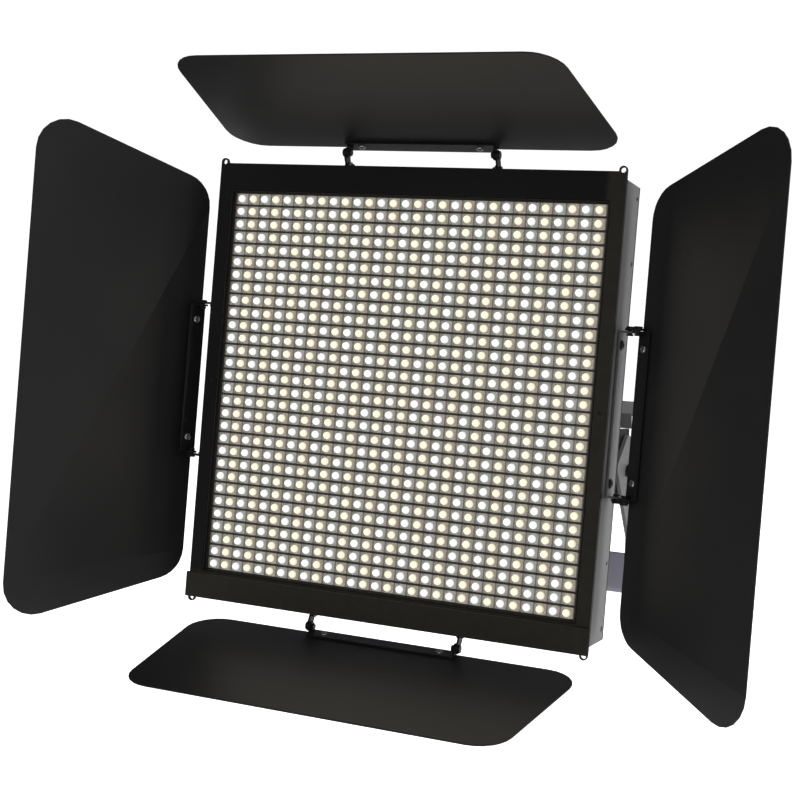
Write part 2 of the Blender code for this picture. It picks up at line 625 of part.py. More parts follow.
def bar_outline():
    """Section of the lower bar in (y, z) from the bolt: a channel open at the top, taller in front."""
    low, far = BAR_TOP - BAR_HEIGHT, BAR_FRONT + BAR_DEPTH
    front, back = (BAR_FRONT + BAR_ROUND, low + BAR_ROUND), (far - BAR_ROUND, low + BAR_ROUND)
    bend, inner = BAR_ROUND, BAR_ROUND - BAR_WALL
    outline = [(BAR_FRONT, BAR_TOP)] + arc(front, bend, math.pi, 1.5 * math.pi, 5)
    outline += arc(back, bend, 1.5 * math.pi, 2 * math.pi, 5)
    outline += [(far, low + BAR_LIP), (far - BAR_WALL, low + BAR_LIP)]
    outline += arc(back, inner, 2 * math.pi, 1.5 * math.pi, 5) + arc(front, inner, 1.5 * math.pi, math.pi, 5)
    return outline + [(BAR_FRONT + BAR_WALL, BAR_TOP)]


def cap_outline():
    """Side view of an end plate in (y, z) from the bolt: it fills the bar's channel up to its edges."""
    inset = BAR_WALL + GAP
    low, near, far = BAR_TOP - BAR_HEIGHT + inset, BAR_FRONT + inset, BAR_FRONT + BAR_DEPTH - inset
    turn = BAR_ROUND - inset
    outline = [(near, BAR_TOP - BAR_WALL)] + arc((near + turn, low + turn), turn, math.pi, 1.5 * math.pi, 5)
    return outline + arc((far - turn, low + turn), turn, 1.5 * math.pi, 2 * math.pi, 5) + [
        (far, BAR_TOP - BAR_HEIGHT + BAR_LIP)]


def build_yoke(yoke, paint, bar_paint):
    """Two arms, the brace between them, and the lower bar with its end plates."""
    outline = arm_outline()
    hole = circle((0.0, 0.0), BOLT_RADIUS + RUNNING)
    for side, word in ((-1, "left"), (1, "right")):
        low, high = sorted((side * ARM_INNER, side * ARM_OUTER))
        plate(f"yoke_arm_{word}", [outline, hole], low, high, yoke, paint, "X")
    end = ARM_INNER - GAP
    back, base = BRACE_FRONT + BRACE_DEPTH, BRACE_TOP - BRACE_HEIGHT
    channel = [(BRACE_FRONT, base), (BRACE_FRONT + SHEET, base), (BRACE_FRONT + SHEET, BRACE_TOP - SHEET),
               (back - SHEET, BRACE_TOP - SHEET), (back - SHEET, base), (back, base), (back, BRACE_TOP),
               (BRACE_FRONT, BRACE_TOP)]
    plate("yoke_brace", [channel], -end, end, yoke, paint, "X")
    plate("yoke_bar", [bar_outline()], -end, end, yoke, bar_paint, "X")
    for side, word in ((-1, "left"), (1, "right")):
        start, stop = sorted((side * (end - GAP - CAP_THICK), side * (end - GAP)))
        plate(f"bar_cap_{word}", [cap_outline()], start, stop, yoke, paint, "X")


def build_bolts(yoke, steel, dark):
    """Tilt bolt on the right and the locking knob with its bolt on the left."""
    head = ARM_OUTER + GAP
    nut = EAR_INNER - GAP
    shank = [(0, nut - NUT_THICK), (NUT_RADIUS, nut - NUT_THICK), (NUT_RADIUS, nut), (BOLT_RADIUS, nut),
             (BOLT_RADIUS, head)]
    domed = [(BOLT_HEAD_RADIUS, head), (BOLT_HEAD_RADIUS, head + BOLT_HEAD_THICK * 0.7),
             (BOLT_HEAD_RADIUS * 0.8, head + BOLT_HEAD_THICK), (0, head + BOLT_HEAD_THICK)]
    turned("tilt_bolt", shank + domed, yoke, steel, along_x(0, 0, 0))
    grip_start = head + KNOB_STAND
    profile = shank + [(KNOB_HUB, head), (KNOB_HUB, grip_start + SHEET), (0, grip_start + SHEET)]
    spindle = Matrix.Rotation(-math.pi / 2, 4, "Y")
    knob = turned("tilt_knob", profile, yoke, dark, spindle)
    lobes = []
    for i in range(KNOB_LOBES * 8):
        turn = 2 * math.pi * i / (KNOB_LOBES * 8)
        radius = KNOB_RADIUS * (0.9 + 0.1 * math.cos(KNOB_LOBES * turn))
        lobes.append((radius * math.cos(turn), radius * math.sin(turn)))
    grip = extruded([lobes], grip_start, head + KNOB_THICK, "Z")
    joined(knob, add("tilt_knob_grip", grip, yoke, dark, spindle))


def build_receiver(stand, yoke, metal, dark):
    """Stand receiver under the lower bar with its clamp screw."""
    top = RECEIVER_LENGTH
    profile = [(0.0, top), (RECEIVER_FLANGE, top), (RECEIVER_FLANGE, top - FLANGE_THICK),
               (RECEIVER_RADIUS, top - FLANGE_THICK), (RECEIVER_RADIUS, 0.0), (BORE_RADIUS, 0.0),
               (BORE_RADIUS, BORE_DEPTH), (0.0, BORE_DEPTH)]
    receiver = turned("stand_receiver", profile, stand, metal, steps=28)
    bore, through = CLAMP_RADIUS + RUNNING, 2 * RECEIVER_RADIUS
    drill = [(0, 0), (bore, 0), (bore, through), (0, through)]
    cut(receiver, turned("clamp_hole", drill, stand, metal, along_y(0, 0, CLAMP_HEIGHT), 16))
    tip = BORE_RADIUS + GAP
    wall = RECEIVER_RADIUS + 3 * GAP
    shoulder = wall + CLAMP_COLLAR_LENGTH
    end = RECEIVER_RADIUS + CLAMP_REACH
    screw = [(0, tip), (CLAMP_RADIUS, tip), (CLAMP_RADIUS, wall), (CLAMP_COLLAR, wall), (CLAMP_COLLAR, shoulder),
             (CLAMP_GRIP, shoulder + CLAMP_SHOULDER), (CLAMP_GRIP, end - CLAMP_ROUND), (CLAMP_GRIP - CLAMP_ROUND, end),
             (0, end)]
    turned("clamp_screw", screw, stand, dark, along_y(0, 0, CLAMP_HEIGHT), 16)


# ================================================================ assembly
def main():
    """Build the light."""
    clear_scene()
    black = finish("satin_black_paint", (0.014, 0.014, 0.016), 0.42)
    grey = finish("grey_side_paint", (0.13, 0.13, 0.135), 0.38)
    sheet = finish("leaf_paint", (0.012, 0.012, 0.014), 0.36)
    steel = finish("dark_steel", (0.03, 0.03, 0.032), 0.40, 0.6)
    bright = finish("plated_steel", (0.55, 0.55, 0.56), 0.28, 1.0)
    alloy = finish("raw_aluminium", (0.60, 0.61, 0.62), 0.35, 1.0)
    board = finish("circuit_board", (0.02, 0.10, 0.04), 0.45)
    clear = finish("lamp_lens", (0.95, 0.92, 0.85), 0.10)
    cells = finish("reflector_plastic", (0.05, 0.045, 0.035), 0.40)
    dark = finish("black_plastic", (0.018, 0.018, 0.020), 0.50)
    soft = finish("grey_plastic", (0.20, 0.19, 0.21), 0.45)
    glass = finish("display_glass", (0.01, 0.02, 0.03), 0.08)

    stand = empty("stand_mount", None, Matrix())
    yoke = empty("yoke_frame", stand, Matrix.Translation((0.0, -PIVOT_BEHIND, PIVOT_ABOVE)))
    tilt = empty("tilt_axis", yoke, Matrix.Rotation(-TILT_ANGLE, 4, "X"))
    panel = empty("panel_frame", tilt, Matrix.Translation((0.0, -TILT_DEPTH, -TILT_HEIGHT)))

    build_front(panel, black)
    build_casing(panel, grey)
    build_lamps(panel, clear, cells, board, alloy)
    build_electronics(panel, board, alloy)
    build_ears(panel, black)
    build_controls(panel, black, dark, {"board": board, "grey": soft}, bright, glass)
    for door in DOORS:
        build_door(panel, door, sheet, steel)
    build_yoke(yoke, grey, soft)
    build_bolts(yoke, steel, dark)
    build_receiver(stand, yoke, alloy, dark)


main()
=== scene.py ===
"""Looks of an LED panel light: lit lamps in a moulded grid, four barn doors, rear controls and a yoke.

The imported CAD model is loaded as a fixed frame.  Its nodes keep their shapes and get procedural
finishes; the lamps, the reflector cells, the screws, the knurls, the contacts and the printed marks
are built here and ride on the CAD bodies.  Panel pieces are modelled in the panel's own frame: X
across, Y into the body and Z up, with the origin in the middle of the lamp field.
"""

import json
import logging
import math
from dataclasses import dataclass, field
from enum import Enum
from typing import ClassVar, Dict, Iterable, List, Optional, Sequence, Tuple, Union

import bmesh
import bpy
from mathutils import Matrix, Vector


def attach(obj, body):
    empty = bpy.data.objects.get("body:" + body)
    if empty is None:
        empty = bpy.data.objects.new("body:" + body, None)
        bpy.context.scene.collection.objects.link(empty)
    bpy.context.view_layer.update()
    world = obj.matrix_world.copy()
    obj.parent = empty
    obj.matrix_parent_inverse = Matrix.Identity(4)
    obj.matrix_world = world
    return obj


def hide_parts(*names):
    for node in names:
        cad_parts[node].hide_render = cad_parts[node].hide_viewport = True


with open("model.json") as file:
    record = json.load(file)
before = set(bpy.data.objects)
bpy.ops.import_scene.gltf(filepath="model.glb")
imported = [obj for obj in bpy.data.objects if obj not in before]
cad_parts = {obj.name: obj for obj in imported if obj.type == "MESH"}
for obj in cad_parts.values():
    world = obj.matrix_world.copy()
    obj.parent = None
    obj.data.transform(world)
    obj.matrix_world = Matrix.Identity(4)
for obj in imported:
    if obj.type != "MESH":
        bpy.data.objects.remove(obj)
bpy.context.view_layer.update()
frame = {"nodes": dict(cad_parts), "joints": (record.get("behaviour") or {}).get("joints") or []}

LOG = logging.getLogger("panel_light")

Colour = Tuple[float, float, float]
Point = Tuple[float, float]
Triple = Tuple[float, float, float]

MM = 0.001


# ================================================================ shader maths
class Signal:
    """A node's output that can be used in arithmetic; each operator adds the node for it."""

    def __init__(self, graph: "Graph", socket: bpy.types.NodeSocket) -> None:
        """Wrap a socket.

        Args:
            graph: The node graph that holds the socket.
            socket: The output socket.
        """
        self.graph = graph
        self.socket = socket

    @property
    def is_vector(self) -> bool:
        """Whether the output carries three numbers.

        Returns:
            True for a colour or a vector.
        """
        return self.socket.type in {"RGBA", "VECTOR"}

    def __add__(self, other: "Term") -> "Signal":
        """Add to the right."""
        return self.graph.combined("ADD", self, other)

    def __radd__(self, other: "Term") -> "Signal":
        """Add to the left."""
        return self.graph.combined("ADD", other, self)

    def __sub__(self, other: "Term") -> "Signal":
        """Take away the other term."""
        return self.graph.combined("SUBTRACT", self, other)

    def __rsub__(self, other: "Term") -> "Signal":
        """Take away from the other term."""
        return self.graph.combined("SUBTRACT", other, self)

    def __mul__(self, other: "Term") -> "Signal":
        """Multiply on the right."""
        return self.graph.combined("MULTIPLY", self, other)

    def __rmul__(self, other: "Term") -> "Signal":
        """Multiply on the left."""
        return self.graph.combined("MULTIPLY", other, self)

    def __truediv__(self, other: "Term") -> "Signal":
        """Divide by the other term."""
        return self.graph.combined("DIVIDE", self, other)

    def __rtruediv__(self, other: "Term") -> "Signal":
        """Divide the other term."""
        return self.graph.combined("DIVIDE", other, self)

    def __pow__(self, other: "Term") -> "Signal":
        """Raise to a power."""
        return self.graph.combined("POWER", self, other)

    def __rpow__(self, other: "Term") -> "Signal":
        """Raise the other term to this power."""
        return self.graph.combined("POWER", other, self)

    def __lt__(self, other: "Term") -> "Signal":
        """Give 1 where this is the smaller term."""
        return self.graph.combined("LESS_THAN", self, other)

    def __abs__(self) -> "Signal":
        """Drop the sign."""
        return self.graph.worked("ABSOLUTE", self)

    def floor(self) -> "Signal":
        """Round down.

        Returns:
            The whole number below the signal.
        """
        return self.graph.worked("FLOOR", self)

    def ramp(self, low: float, high: float) -> "Signal":
        """Rise smoothly from 0 to 1 between two levels.

        Args:
            low: Level at which the result is 0.
            high: Level at which the result is 1.

        Returns:
            The smoothed signal, held to 0..1.
        """
        settings = {"interpolation_type": "SMOOTHSTEP", "clamp": True}
        values = {"Value": self, "From Min": low, "From Max": high}
        return self.graph.node("ShaderNodeMapRange", settings, values, "Result")

    def part(self, axis: str) -> "Signal":
        """Take one coordinate of a vector.

        Args:
            axis: "X", "Y" or "Z".

        Returns:
            That coordinate.
        """
        return self.graph.node("ShaderNodeSeparateXYZ", {}, {"Vector": self}, axis)


Term = Union[Signal, float, Triple]


class Graph:
    """The node tree of one material."""

    def __init__(self, tree: bpy.types.NodeTree) -> None:
        """Start with a material's tree.

        Args:
            tree: The tree to add nodes to.
        """
        self.tree = tree

    def node(self, kind: str, settings: Dict[str, object], values: Dict[Union[str, int], Term],
             output: Union[str, int] = 0) -> Signal:
        """Add any node.

        Args:
            kind: The node's type name.
            settings: Its own properties.
            values: What goes into its sockets, by name or index: signals or constants.
            output: The output to take, by name or index.

        Returns:
            The chosen output.
        """
        made = self.tree.nodes.new(kind)
        for name, value in settings.items():
            setattr(made, name, value)
        for key, value in values.items():
            self.feed(made.inputs[key], value)
        return Signal(self, made.outputs[output])

    def feed(self, socket: bpy.types.NodeSocket, value: Term) -> None:
        """Link a signal to a socket, or set a constant on it.

        Args:
            socket: The input socket.
            value: A signal, a number or a colour.
        """
        if isinstance(value, Signal):
            self.tree.links.new(value.socket, socket)
        elif isinstance(value, tuple) and socket.type == "RGBA" and len(value) == 3:
            socket.default_value = (*value, 1.0)
        else:
            socket.default_value = value

    def combined(self, operation: str, first: Term, second: Term) -> Signal:
        """Work on two terms with a Math or Vector Math node.

        Args:
            operation: The node's operation.
            first: First term.
            second: Second term.

        Returns:
            The result.
        """
        wide = any(isinstance(term, tuple) or (isinstance(term, Signal) and term.is_vector)
                   for term in (first, second))
        if not wide:
            return self.node("ShaderNodeMath", {"operation": operation}, {0: first, 1: second})
        spread = [(term,) * 3 if isinstance(term, (int, float)) else term for term in (first, second)]
        return self.node("ShaderNodeVectorMath", {"operation": operation}, {0: spread[0], 1: spread[1]})

    def worked(self, operation: str, term: Signal) -> Signal:
        """Work on one number with a Math node.

        Args:
            operation: The node's operation.
            term: The number.

        Returns:
            The result.
        """
        return self.node("ShaderNodeMath", {"operation": operation}, {0: term})

    def place(self, into: Optional[Matrix] = None) -> Signal:
        """Position on the piece.

        Args:
            into: Matrix from the object's coordinates to the wanted ones.

        Returns:
            The position in metres.
        """
        here = self.node("ShaderNodeTexCoord", {}, {}, "Object")
        if into is None:
            return here
        values = {"Vector": here, "Location": tuple(into.translation), "Rotation": tuple(into.to_euler())}
        return self.node("ShaderNodeMapping", {"vector_type": "POINT"}, values)

    def noise(self, at: Signal, scale: float, detail: float = 2.0, rough: float = 0.5) -> Signal:
        """Smooth noise.

        Args:
            at: Position.
            scale: Cells to the metre.
            detail: Octaves.
            rough: Strength of the finer octaves.

        Returns:
            Noise between 0 and 1.
        """
        values = {"Vector": at, "Scale": scale, "Detail": detail, "Roughness": rough}
        return self.node("ShaderNodeTexNoise", {}, values, 0)

    def mix(self, low: Term, high: Term, factor: Term) -> Signal:
        """Blend two colours.

        Args:
            low: Colour at factor 0.
            high: Colour at factor 1.
            factor: The blend.

        Returns:
            The blended colour.
        """
        return self.node("ShaderNodeMix", {"data_type": "RGBA"}, {0: factor, 6: low, 7: high}, 2)

    def bump(self, height: Signal, distance: float, strength: float = 1.0) -> Signal:
        """Surface relief.

        Args:
            height: Relief between 0 and 1.
            distance: What 1 stands for, in metres.
            strength: How much of it shows.

        Returns:
            The bent normal.
        """
        values = {"Height": height, "Distance": distance, "Strength": strength}
        return self.node("ShaderNodeBump", {}, values, "Normal")


# ================================================================ finishes
class Slot(Enum):
    """Material slots of the record."""

    BLACK_PAINT = "satin_black_paint"
    GREY_PAINT = "grey_side_paint"
    LEAF_PAINT = "leaf_paint"
    DARK_STEEL = "dark_steel"
    PLATED = "plated_steel"
    ALUMINIUM = "raw_aluminium"
    BOARD = "circuit_board"
    LENS = "lamp_lens"
    CELLS = "reflector_plastic"
    BLACK_PLASTIC = "black_plastic"
    GREY_PLASTIC = "grey_plastic"
    GLASS = "display_glass"


@dataclass(frozen=True)
class Finish:
    """A surface finish; each kind says what goes into the shader."""

    name: str
    slot: Slot
    made: ClassVar[Dict[str, bpy.types.Material]] = {}

    def inputs(self, graph: Graph) -> Dict[str, Term]:
        """What feeds the Principled shader.

        Args:
            graph: Graph to build in.

        Returns:
            Socket values by name.
        """
        raise NotImplementedError

    def material(self) -> bpy.types.Material:
        """Make the material, once.

        Returns:
            The material.
        """
        if self.name not in Finish.made:
            made = bpy.data.materials.new(self.name)
            made.use_nodes = True
            graph = Graph(made.node_tree)
            shader = made.node_tree.nodes["Principled BSDF"]
            for key, value in self.inputs(graph).items():
                graph.feed(shader.inputs[key], value)
            Finish.made[self.name] = made
        return Finish.made[self.name]


@dataclass(frozen=True)
class PowderPaint(Finish):
    """Baked powder coat: fine orange peel, cloudy gloss and faint dust."""

    base: Colour = (0.01, 0.01, 0.01)
    worn_and_lit: Colour = (0.02, 0.02, 0.02)
    gloss: Tuple[float, float] = (0.34, 0.46)
    grain: float = 1500.0
    relief: float = 0.00003
    specular: float = 0.5

    def inputs(self, graph: Graph) -> Dict[str, Term]:
        """Paint colour, gloss and peel.

        Args:
            graph: Graph to build in.

        Returns:
            Socket values by name.
        """
        at = graph.place()
        cloud = graph.noise(at, 9.0, 3.0)
        speck = graph.noise(at, self.grain, 2.0)
        dust = graph.noise(at, 420.0, 3.0, 0.7).ramp(0.60, 0.78)
        colour = graph.mix(self.base, self.worn_and_lit, cloud.ramp(0.35, 0.7) * 0.7 + dust * 0.3)
        low, high = self.gloss
        return {
            "Base Color": colour,
            "Roughness": low + (high - low) * (cloud * 0.6 + speck * 0.4),
            "Specular IOR Level": self.specular,
            "Normal": graph.bump(speck, self.relief, 0.6),
        }


@dataclass(frozen=True)
class FramePaint(PowderPaint):
    """Black paint of the front frame, with painted warm lamp glow on its strips beside the lamps' right end column
    and lower row.
    """

    into_panel: Tuple[Tuple[float, ...], ...] = ()
    # Warm colour of the painted lamp glow on the frame's right and lower strips.
    painted_lamp_glow: Colour = (0.026, 0.023, 0.018)

    def inputs(self, graph: Graph) -> Dict[str, Term]:
        """Paint with its strips of painted warm lamp glow.

        Args:
            graph: Graph to build in.

        Returns:
            Socket values by name.
        """
        values = super().inputs(graph)
        at = graph.place(Matrix(self.into_panel))
        # Painted light: a warm glow on the front face beside the lamps' right end column and lower row.
        away = (1.0 - at.part("X").ramp(0.148, 0.153)) * (1.0 - at.part("Z").ramp(-0.149, -0.152))
        patch = graph.noise(at, 150.0, 3.0)
        near = (1.0 - away) * (0.55 + 0.6 * patch) * at.part("Y").ramp(0.004, 0.001)
        values["Base Color"] = graph.mix(values["Base Color"], self.painted_lamp_glow, near)
        return values


@dataclass(frozen=True)
class CasingPaint(PowderPaint):
    """Grey paint of the folded casing, with painted shade along its front and rear folds, and painted light that
    makes it lighter towards the bottom.
    """

    into_panel: Tuple[Tuple[float, ...], ...] = ()
    depth: float = 0.038
    line: float = 0.0009

    def inputs(self, graph: Graph) -> Dict[str, Term]:
        """Paint with painted fold shade, lighter towards the bottom.

        Args:
            graph: Graph to build in.

        Returns:
            Socket values by name.
        """
        values = super().inputs(graph)
        at = graph.place(Matrix(self.into_panel))
        depth = at.part("Y")
        rear = self.depth - self.line
        # Painted shade: a near-black line along the front and rear folds.
        fold = depth.ramp(self.line * 1.6, self.line) + depth.ramp(rear - self.line * 0.3, rear)
        # Painted light: the paint turns towards its lighter tone at the bottom, as if lit from below.
        rise = at.part("Z").ramp(0.17, -0.17)
        lit = graph.mix(values["Base Color"], self.worn_and_lit, rise * 0.8)
        values["Base Color"] = graph.mix(lit, (0.006, 0.006, 0.007), fold)
        return values


@dataclass(frozen=True)
class Blackened(Finish):
    """Blackened steel with bright rubs on its high spots."""

    base: Colour = (0.012, 0.012, 0.013)
    rubbed: Colour = (0.16, 0.16, 0.17)
    rub: float = 0.66

    def inputs(self, graph: Graph) -> Dict[str, Term]:
        """Dark oxide with rubbed patches.

        Args:
            graph: Graph to build in.

        Returns:
            Socket values by name.
        """
        at = graph.place()
        patch = graph.noise(at, 260.0, 4.0, 0.6)
        rubbed = patch.ramp(self.rub, self.rub + 0.12)
        return {
            "Base Color": graph.mix(self.base, self.rubbed, rubbed),
            "Metallic": 0.35 + rubbed * 0.5,
            "Roughness": 0.30 + patch * 0.22,
            "Normal": graph.bump(graph.noise(at, 1700.0, 2.0), 0.00002, 0.5),
        }


@dataclass(frozen=True)
class Metal(Finish):
    """Bare or plated metal with fine turning or brush lines."""

    base: Colour = (0.6, 0.6, 0.6)
    gloss: Tuple[float, float] = (0.18, 0.34)
    stretch: Triple = (60.0, 60.0, 2600.0)

    def inputs(self, graph: Graph) -> Dict[str, Term]:
        """Metal colour with lines.

        Args:
            graph: Graph to build in.

        Returns:
            Socket values by name.
        """
        at = graph.place()
        lines = graph.noise(at * self.stretch, 1.0, 3.0, 0.6)
        haze = graph.noise(at, 70.0, 3.0)
        low, high = self.gloss
        dull = tuple(part * 0.72 for part in self.base)
        return {
            "Base Color": graph.mix(dull, self.base, haze * 0.5 + lines * 0.5),
            "Metallic": 1.0,
            "Roughness": low + (high - low) * (lines * 0.5 + haze * 0.5),
            "Normal": graph.bump(lines, 0.00002, 0.5),
        }


@dataclass(frozen=True)
class Moulded(Finish):
    """Moulded plastic with a spark-eroded grain."""

    base: Colour = (0.014, 0.014, 0.015)
    handled: Colour = (0.026, 0.026, 0.027)
    gloss: Tuple[float, float] = (0.36, 0.55)
    grain: float = 1300.0

    def inputs(self, graph: Graph) -> Dict[str, Term]:
        """Plastic colour and grain.

        Args:
            graph: Graph to build in.

        Returns:
            Socket values by name.
        """
        at = graph.place()
        grain = graph.noise(at, self.grain, 3.0, 0.6)
        handled = graph.noise(at, 55.0, 2.0).ramp(0.45, 0.7)
        low, high = self.gloss
        return {
            "Base Color": graph.mix(self.base, self.handled, handled * 0.6 + grain * 0.4),
            "Roughness": high - (high - low) * handled,
            "Normal": graph.bump(grain, 0.00004, 0.6),
        }


@dataclass(frozen=True)
class SolderMask(Finish):
    """Circuit board: lacquer over copper tracks and tinned pads."""

    def inputs(self, graph: Graph) -> Dict[str, Term]:
        """Board colour with tracks and pads.

        Args:
            graph: Graph to build in.

        Returns:
            Socket values by name.
        """
        at = graph.place()
        cell = graph.node("ShaderNodeTexVoronoi", {"distance": "CHEBYCHEV"}, {"Vector": at, "Scale": 210.0}, 0)
        pads = cell.ramp(0.16, 0.10)
        tracks = graph.node("ShaderNodeTexVoronoi", {"feature": "DISTANCE_TO_EDGE"},
                            {"Vector": at, "Scale": 90.0}, 0).ramp(0.10, 0.06)
        lacquer = graph.mix((0.006, 0.045, 0.020), (0.012, 0.085, 0.036), tracks)
        return {
            "Base Color": graph.mix(lacquer, (0.62, 0.60, 0.55), pads),
            "Metallic": pads,
            "Roughness": 0.38 - pads * 0.12,
            "Normal": graph.bump(tracks + pads, 0.00008, 0.7),
        }


@dataclass(frozen=True)
class LampPattern(Finish):
    """A finish that follows the lamps: it knows the pitch and which columns are warm."""

    pitch: float = 0.010
    rows: int = 30

    def cell(self, graph: Graph) -> Dict[str, Signal]:
        """Where a point is within its lamp's cell.

        Args:
            graph: Graph to build in.

        Returns:
            Offsets from the lamp's axis in mm (x, z), the distance from it, the depth in mm, whether the
            lamp is warm, and one random number for each lamp.
        """
        at = graph.place()
        across = at.part("X") / self.pitch
        up = at.part("Z") / self.pitch
        column, row = across.floor(), up.floor()
        x = (across - column - 0.5) * (self.pitch / MM)
        z = (up - row - 0.5) * (self.pitch / MM)
        radius = (x * x + z * z) ** 0.5
        half = (column + self.rows) * 0.5
        warm = (half - half.floor()) < 0.25
        key = graph.node("ShaderNodeCombineXYZ", {}, {"X": column, "Y": row})
        chance = graph.node("ShaderNodeTexWhiteNoise", {"noise_dimensions": "3D"}, {"Vector": key}, "Value")
        return {"x": x, "z": z, "radius": radius, "depth": at.part("Y") / MM, "warm": warm, "chance": chance,
                "across": at.part("X")}


@dataclass(frozen=True)
class LitLens(LampPattern):
    """Lit lamp dome: bright in the middle, softer at the rim, with a small dark glint."""

    cool: Colour = (0.97, 0.98, 0.99)
    warm: Colour = (0.97, 0.88, 0.71)
    power: float = 1.0

    def inputs(self, graph: Graph) -> Dict[str, Term]:
        """Glowing lens.

        Args:
            graph: Graph to build in.

        Returns:
            Socket values by name.
        """
        cell = self.cell(graph)
        hue = graph.mix(self.cool, self.warm, cell["warm"])
        tint = graph.mix((1.05, 0.96, 0.94), (0.96, 1.03, 0.97), cell["chance"])
        soft = (0.72 + 0.28 * cell["radius"].ramp(2.9, 2.1)) * (0.30 + 0.70 * cell["depth"].ramp(1.8, 0.9))
        dx, dz = cell["x"] + 1.45, cell["z"] - 1.05
        near = (dx * dx * 2.2 + dz * dz) ** 0.5
        glint = near.ramp(0.75, 0.35) * cell["across"].ramp(-0.09, -0.14)
        return {
            "Base Color": graph.mix((0.26, 0.26, 0.26), (0.26, 0.24, 0.19), cell["warm"]),
            "Roughness": 0.10 + cell["chance"] * 0.06,
            "Emission Color": hue * tint * soft * (1.0 - glint * 0.62),
            "Emission Strength": self.power,
        }


@dataclass(frozen=True)
class CellPlastic(LampPattern):
    """Moulded reflector: dark rims in front, pale cups with painted lamp glow round each lamp, and vertical rims
    painted paler as lit side walls.
    """

    rim: Colour = (0.030, 0.026, 0.020)
    cup_cool: Colour = (0.42, 0.42, 0.40)
    cup_warm: Colour = (0.44, 0.41, 0.35)
    # Paler colour of the vertical rims: painted light standing in for their lit side walls.
    lit_upright_rim: Colour = (0.15, 0.13, 0.11)
    front: float = 2.0

    def inputs(self, graph: Graph) -> Dict[str, Term]:
        """Rims, cups, painted glow and painted light on the vertical rims.

        Args:
            graph: Graph to build in.

        Returns:
            Socket values by name.
        """
        cell = self.cell(graph)
        at = graph.place()
        inside = cell["depth"].ramp(self.front + 0.15, self.front + 1.1)
        grain = graph.noise(at, 620.0, 3.0, 0.6)
        cup = graph.mix(self.cup_cool, self.cup_warm, cell["warm"])
        mottled = cup * grain.ramp(0.30, 0.72)
        # Painted light: the cups glow as if lit by their lamps, more strongly near each lamp.
        glow = graph.mix((0.84, 0.83, 0.77), (0.93, 0.88, 0.78), cell["warm"]) * (0.40 + 1.0 * grain)
        near = cell["radius"].ramp(6.2, 2.6)
        # Painted light: the vertical rims get the paler colour and a faint glow, as lit side walls.
        side = abs(cell["x"]).ramp(4.4, 4.6) * abs(cell["z"]).ramp(4.2, 4.0) * (1.0 - inside)
        return {
            "Base Color": graph.mix(graph.mix(self.rim, self.lit_upright_rim, side), mottled, inside),
            "Roughness": 0.42 + grain * 0.2,
            "Emission Color": glow * (inside * (0.17 + near * 0.18) + side * 0.06),
            "Emission Strength": 1.0,
            "Normal": graph.bump(grain, 0.00005, 0.5),
        }


@dataclass(frozen=True)
class ScreenGlass(Finish):
    """Dark display window with a few plain glowing bars behind it."""

    into_panel: Tuple[Tuple[float, ...], ...] = ()
    low: Point = (-0.020, 0.077)
    size: Point = (0.040, 0.016)

    def inputs(self, graph: Graph) -> Dict[str, Term]:
        """Glass with bars.

        Args:
            graph: Graph to build in.

        Returns:
            Socket values by name.
        """
        at = graph.place(Matrix(self.into_panel))
        across = (at.part("X") - self.low[0]) / self.size[0]
        up = (at.part("Z") - self.low[1]) / self.size[1]
        lines = up * 4.0
        line = lines.floor()
        in_line = abs(lines - line - 0.5).ramp(0.26, 0.20)
        reach = 0.25 + 0.6 * graph.node("ShaderNodeTexWhiteNoise", {"noise_dimensions": "1D"}, {"W": line}, "Value")
        in_bar = across.ramp(0.09, 0.10) * (reach - across).ramp(0.0, 0.012)
        in_view = up.ramp(0.06, 0.08) * up.ramp(0.94, 0.92)
        smear = graph.noise(at, 180.0, 2.0)
        return {
            "Base Color": graph.mix((0.004, 0.006, 0.008), (0.009, 0.012, 0.015), smear),
            "Roughness": 0.05 + smear * 0.08,
            "Coat Weight": 0.6 + smear * 0.2,
            "Emission Color": (0.25, 0.75, 1.0) * (in_line * in_bar * in_view),
            "Emission Strength": 0.9,
        }


@dataclass(frozen=True)
class PrintedInk(Finish):
    """Pale printed marks with slightly worn edges."""

    ink: Colour = (0.62, 0.62, 0.60)

    def inputs(self, graph: Graph) -> Dict[str, Term]:
        """Ink colour.

        Args:
            graph: Graph to build in.

        Returns:
            Socket values by name.
        """
        wear = graph.noise(graph.place(), 800.0, 3.0, 0.7)
        faded = tuple(part * 0.6 for part in self.ink)
        return {"Base Color": graph.mix(self.ink, faded, wear.ramp(0.5, 0.75)), "Roughness": 0.5 + wear * 0.2}


# ================================================================ geometry
def circle(radius: float, steps: int, centre: Point = (0.0, 0.0), start: float = 0.0) -> List[Point]:
    """Points of a circle.

    Args:
        radius: Its radius.
        steps: Number of points.
        centre: Its centre.
        start: Angle of the first point, in radians.

    Returns:
        The points in order.
    """
    turns = [start + 2 * math.pi * i / steps for i in range(steps)]
    return [(centre[0] + radius * math.cos(t), centre[1] + radius * math.sin(t)) for t in turns]


def facing(x: float, y: float, z: float, turn: Tuple[float, str]) -> Matrix:
    """Place for a piece modelled along +Z.

    Args:
        x: Position across.
        y: Position in depth.
        z: Position up.
        turn: Degrees and axis that turn +Z the wanted way.

    Returns:
        The matrix.
    """
    return Matrix.Translation((x, y, z)) @ Matrix.Rotation(math.radians(turn[0]), 4, turn[1])


TO_FRONT = (90.0, "X")
TO_BACK = (-90.0, "X")
TO_RIGHT = (90.0, "Y")
TO_LEFT = (-90.0, "Y")
UPRIGHT = (0.0, "X")
TO_FLOOR = (180.0, "X")


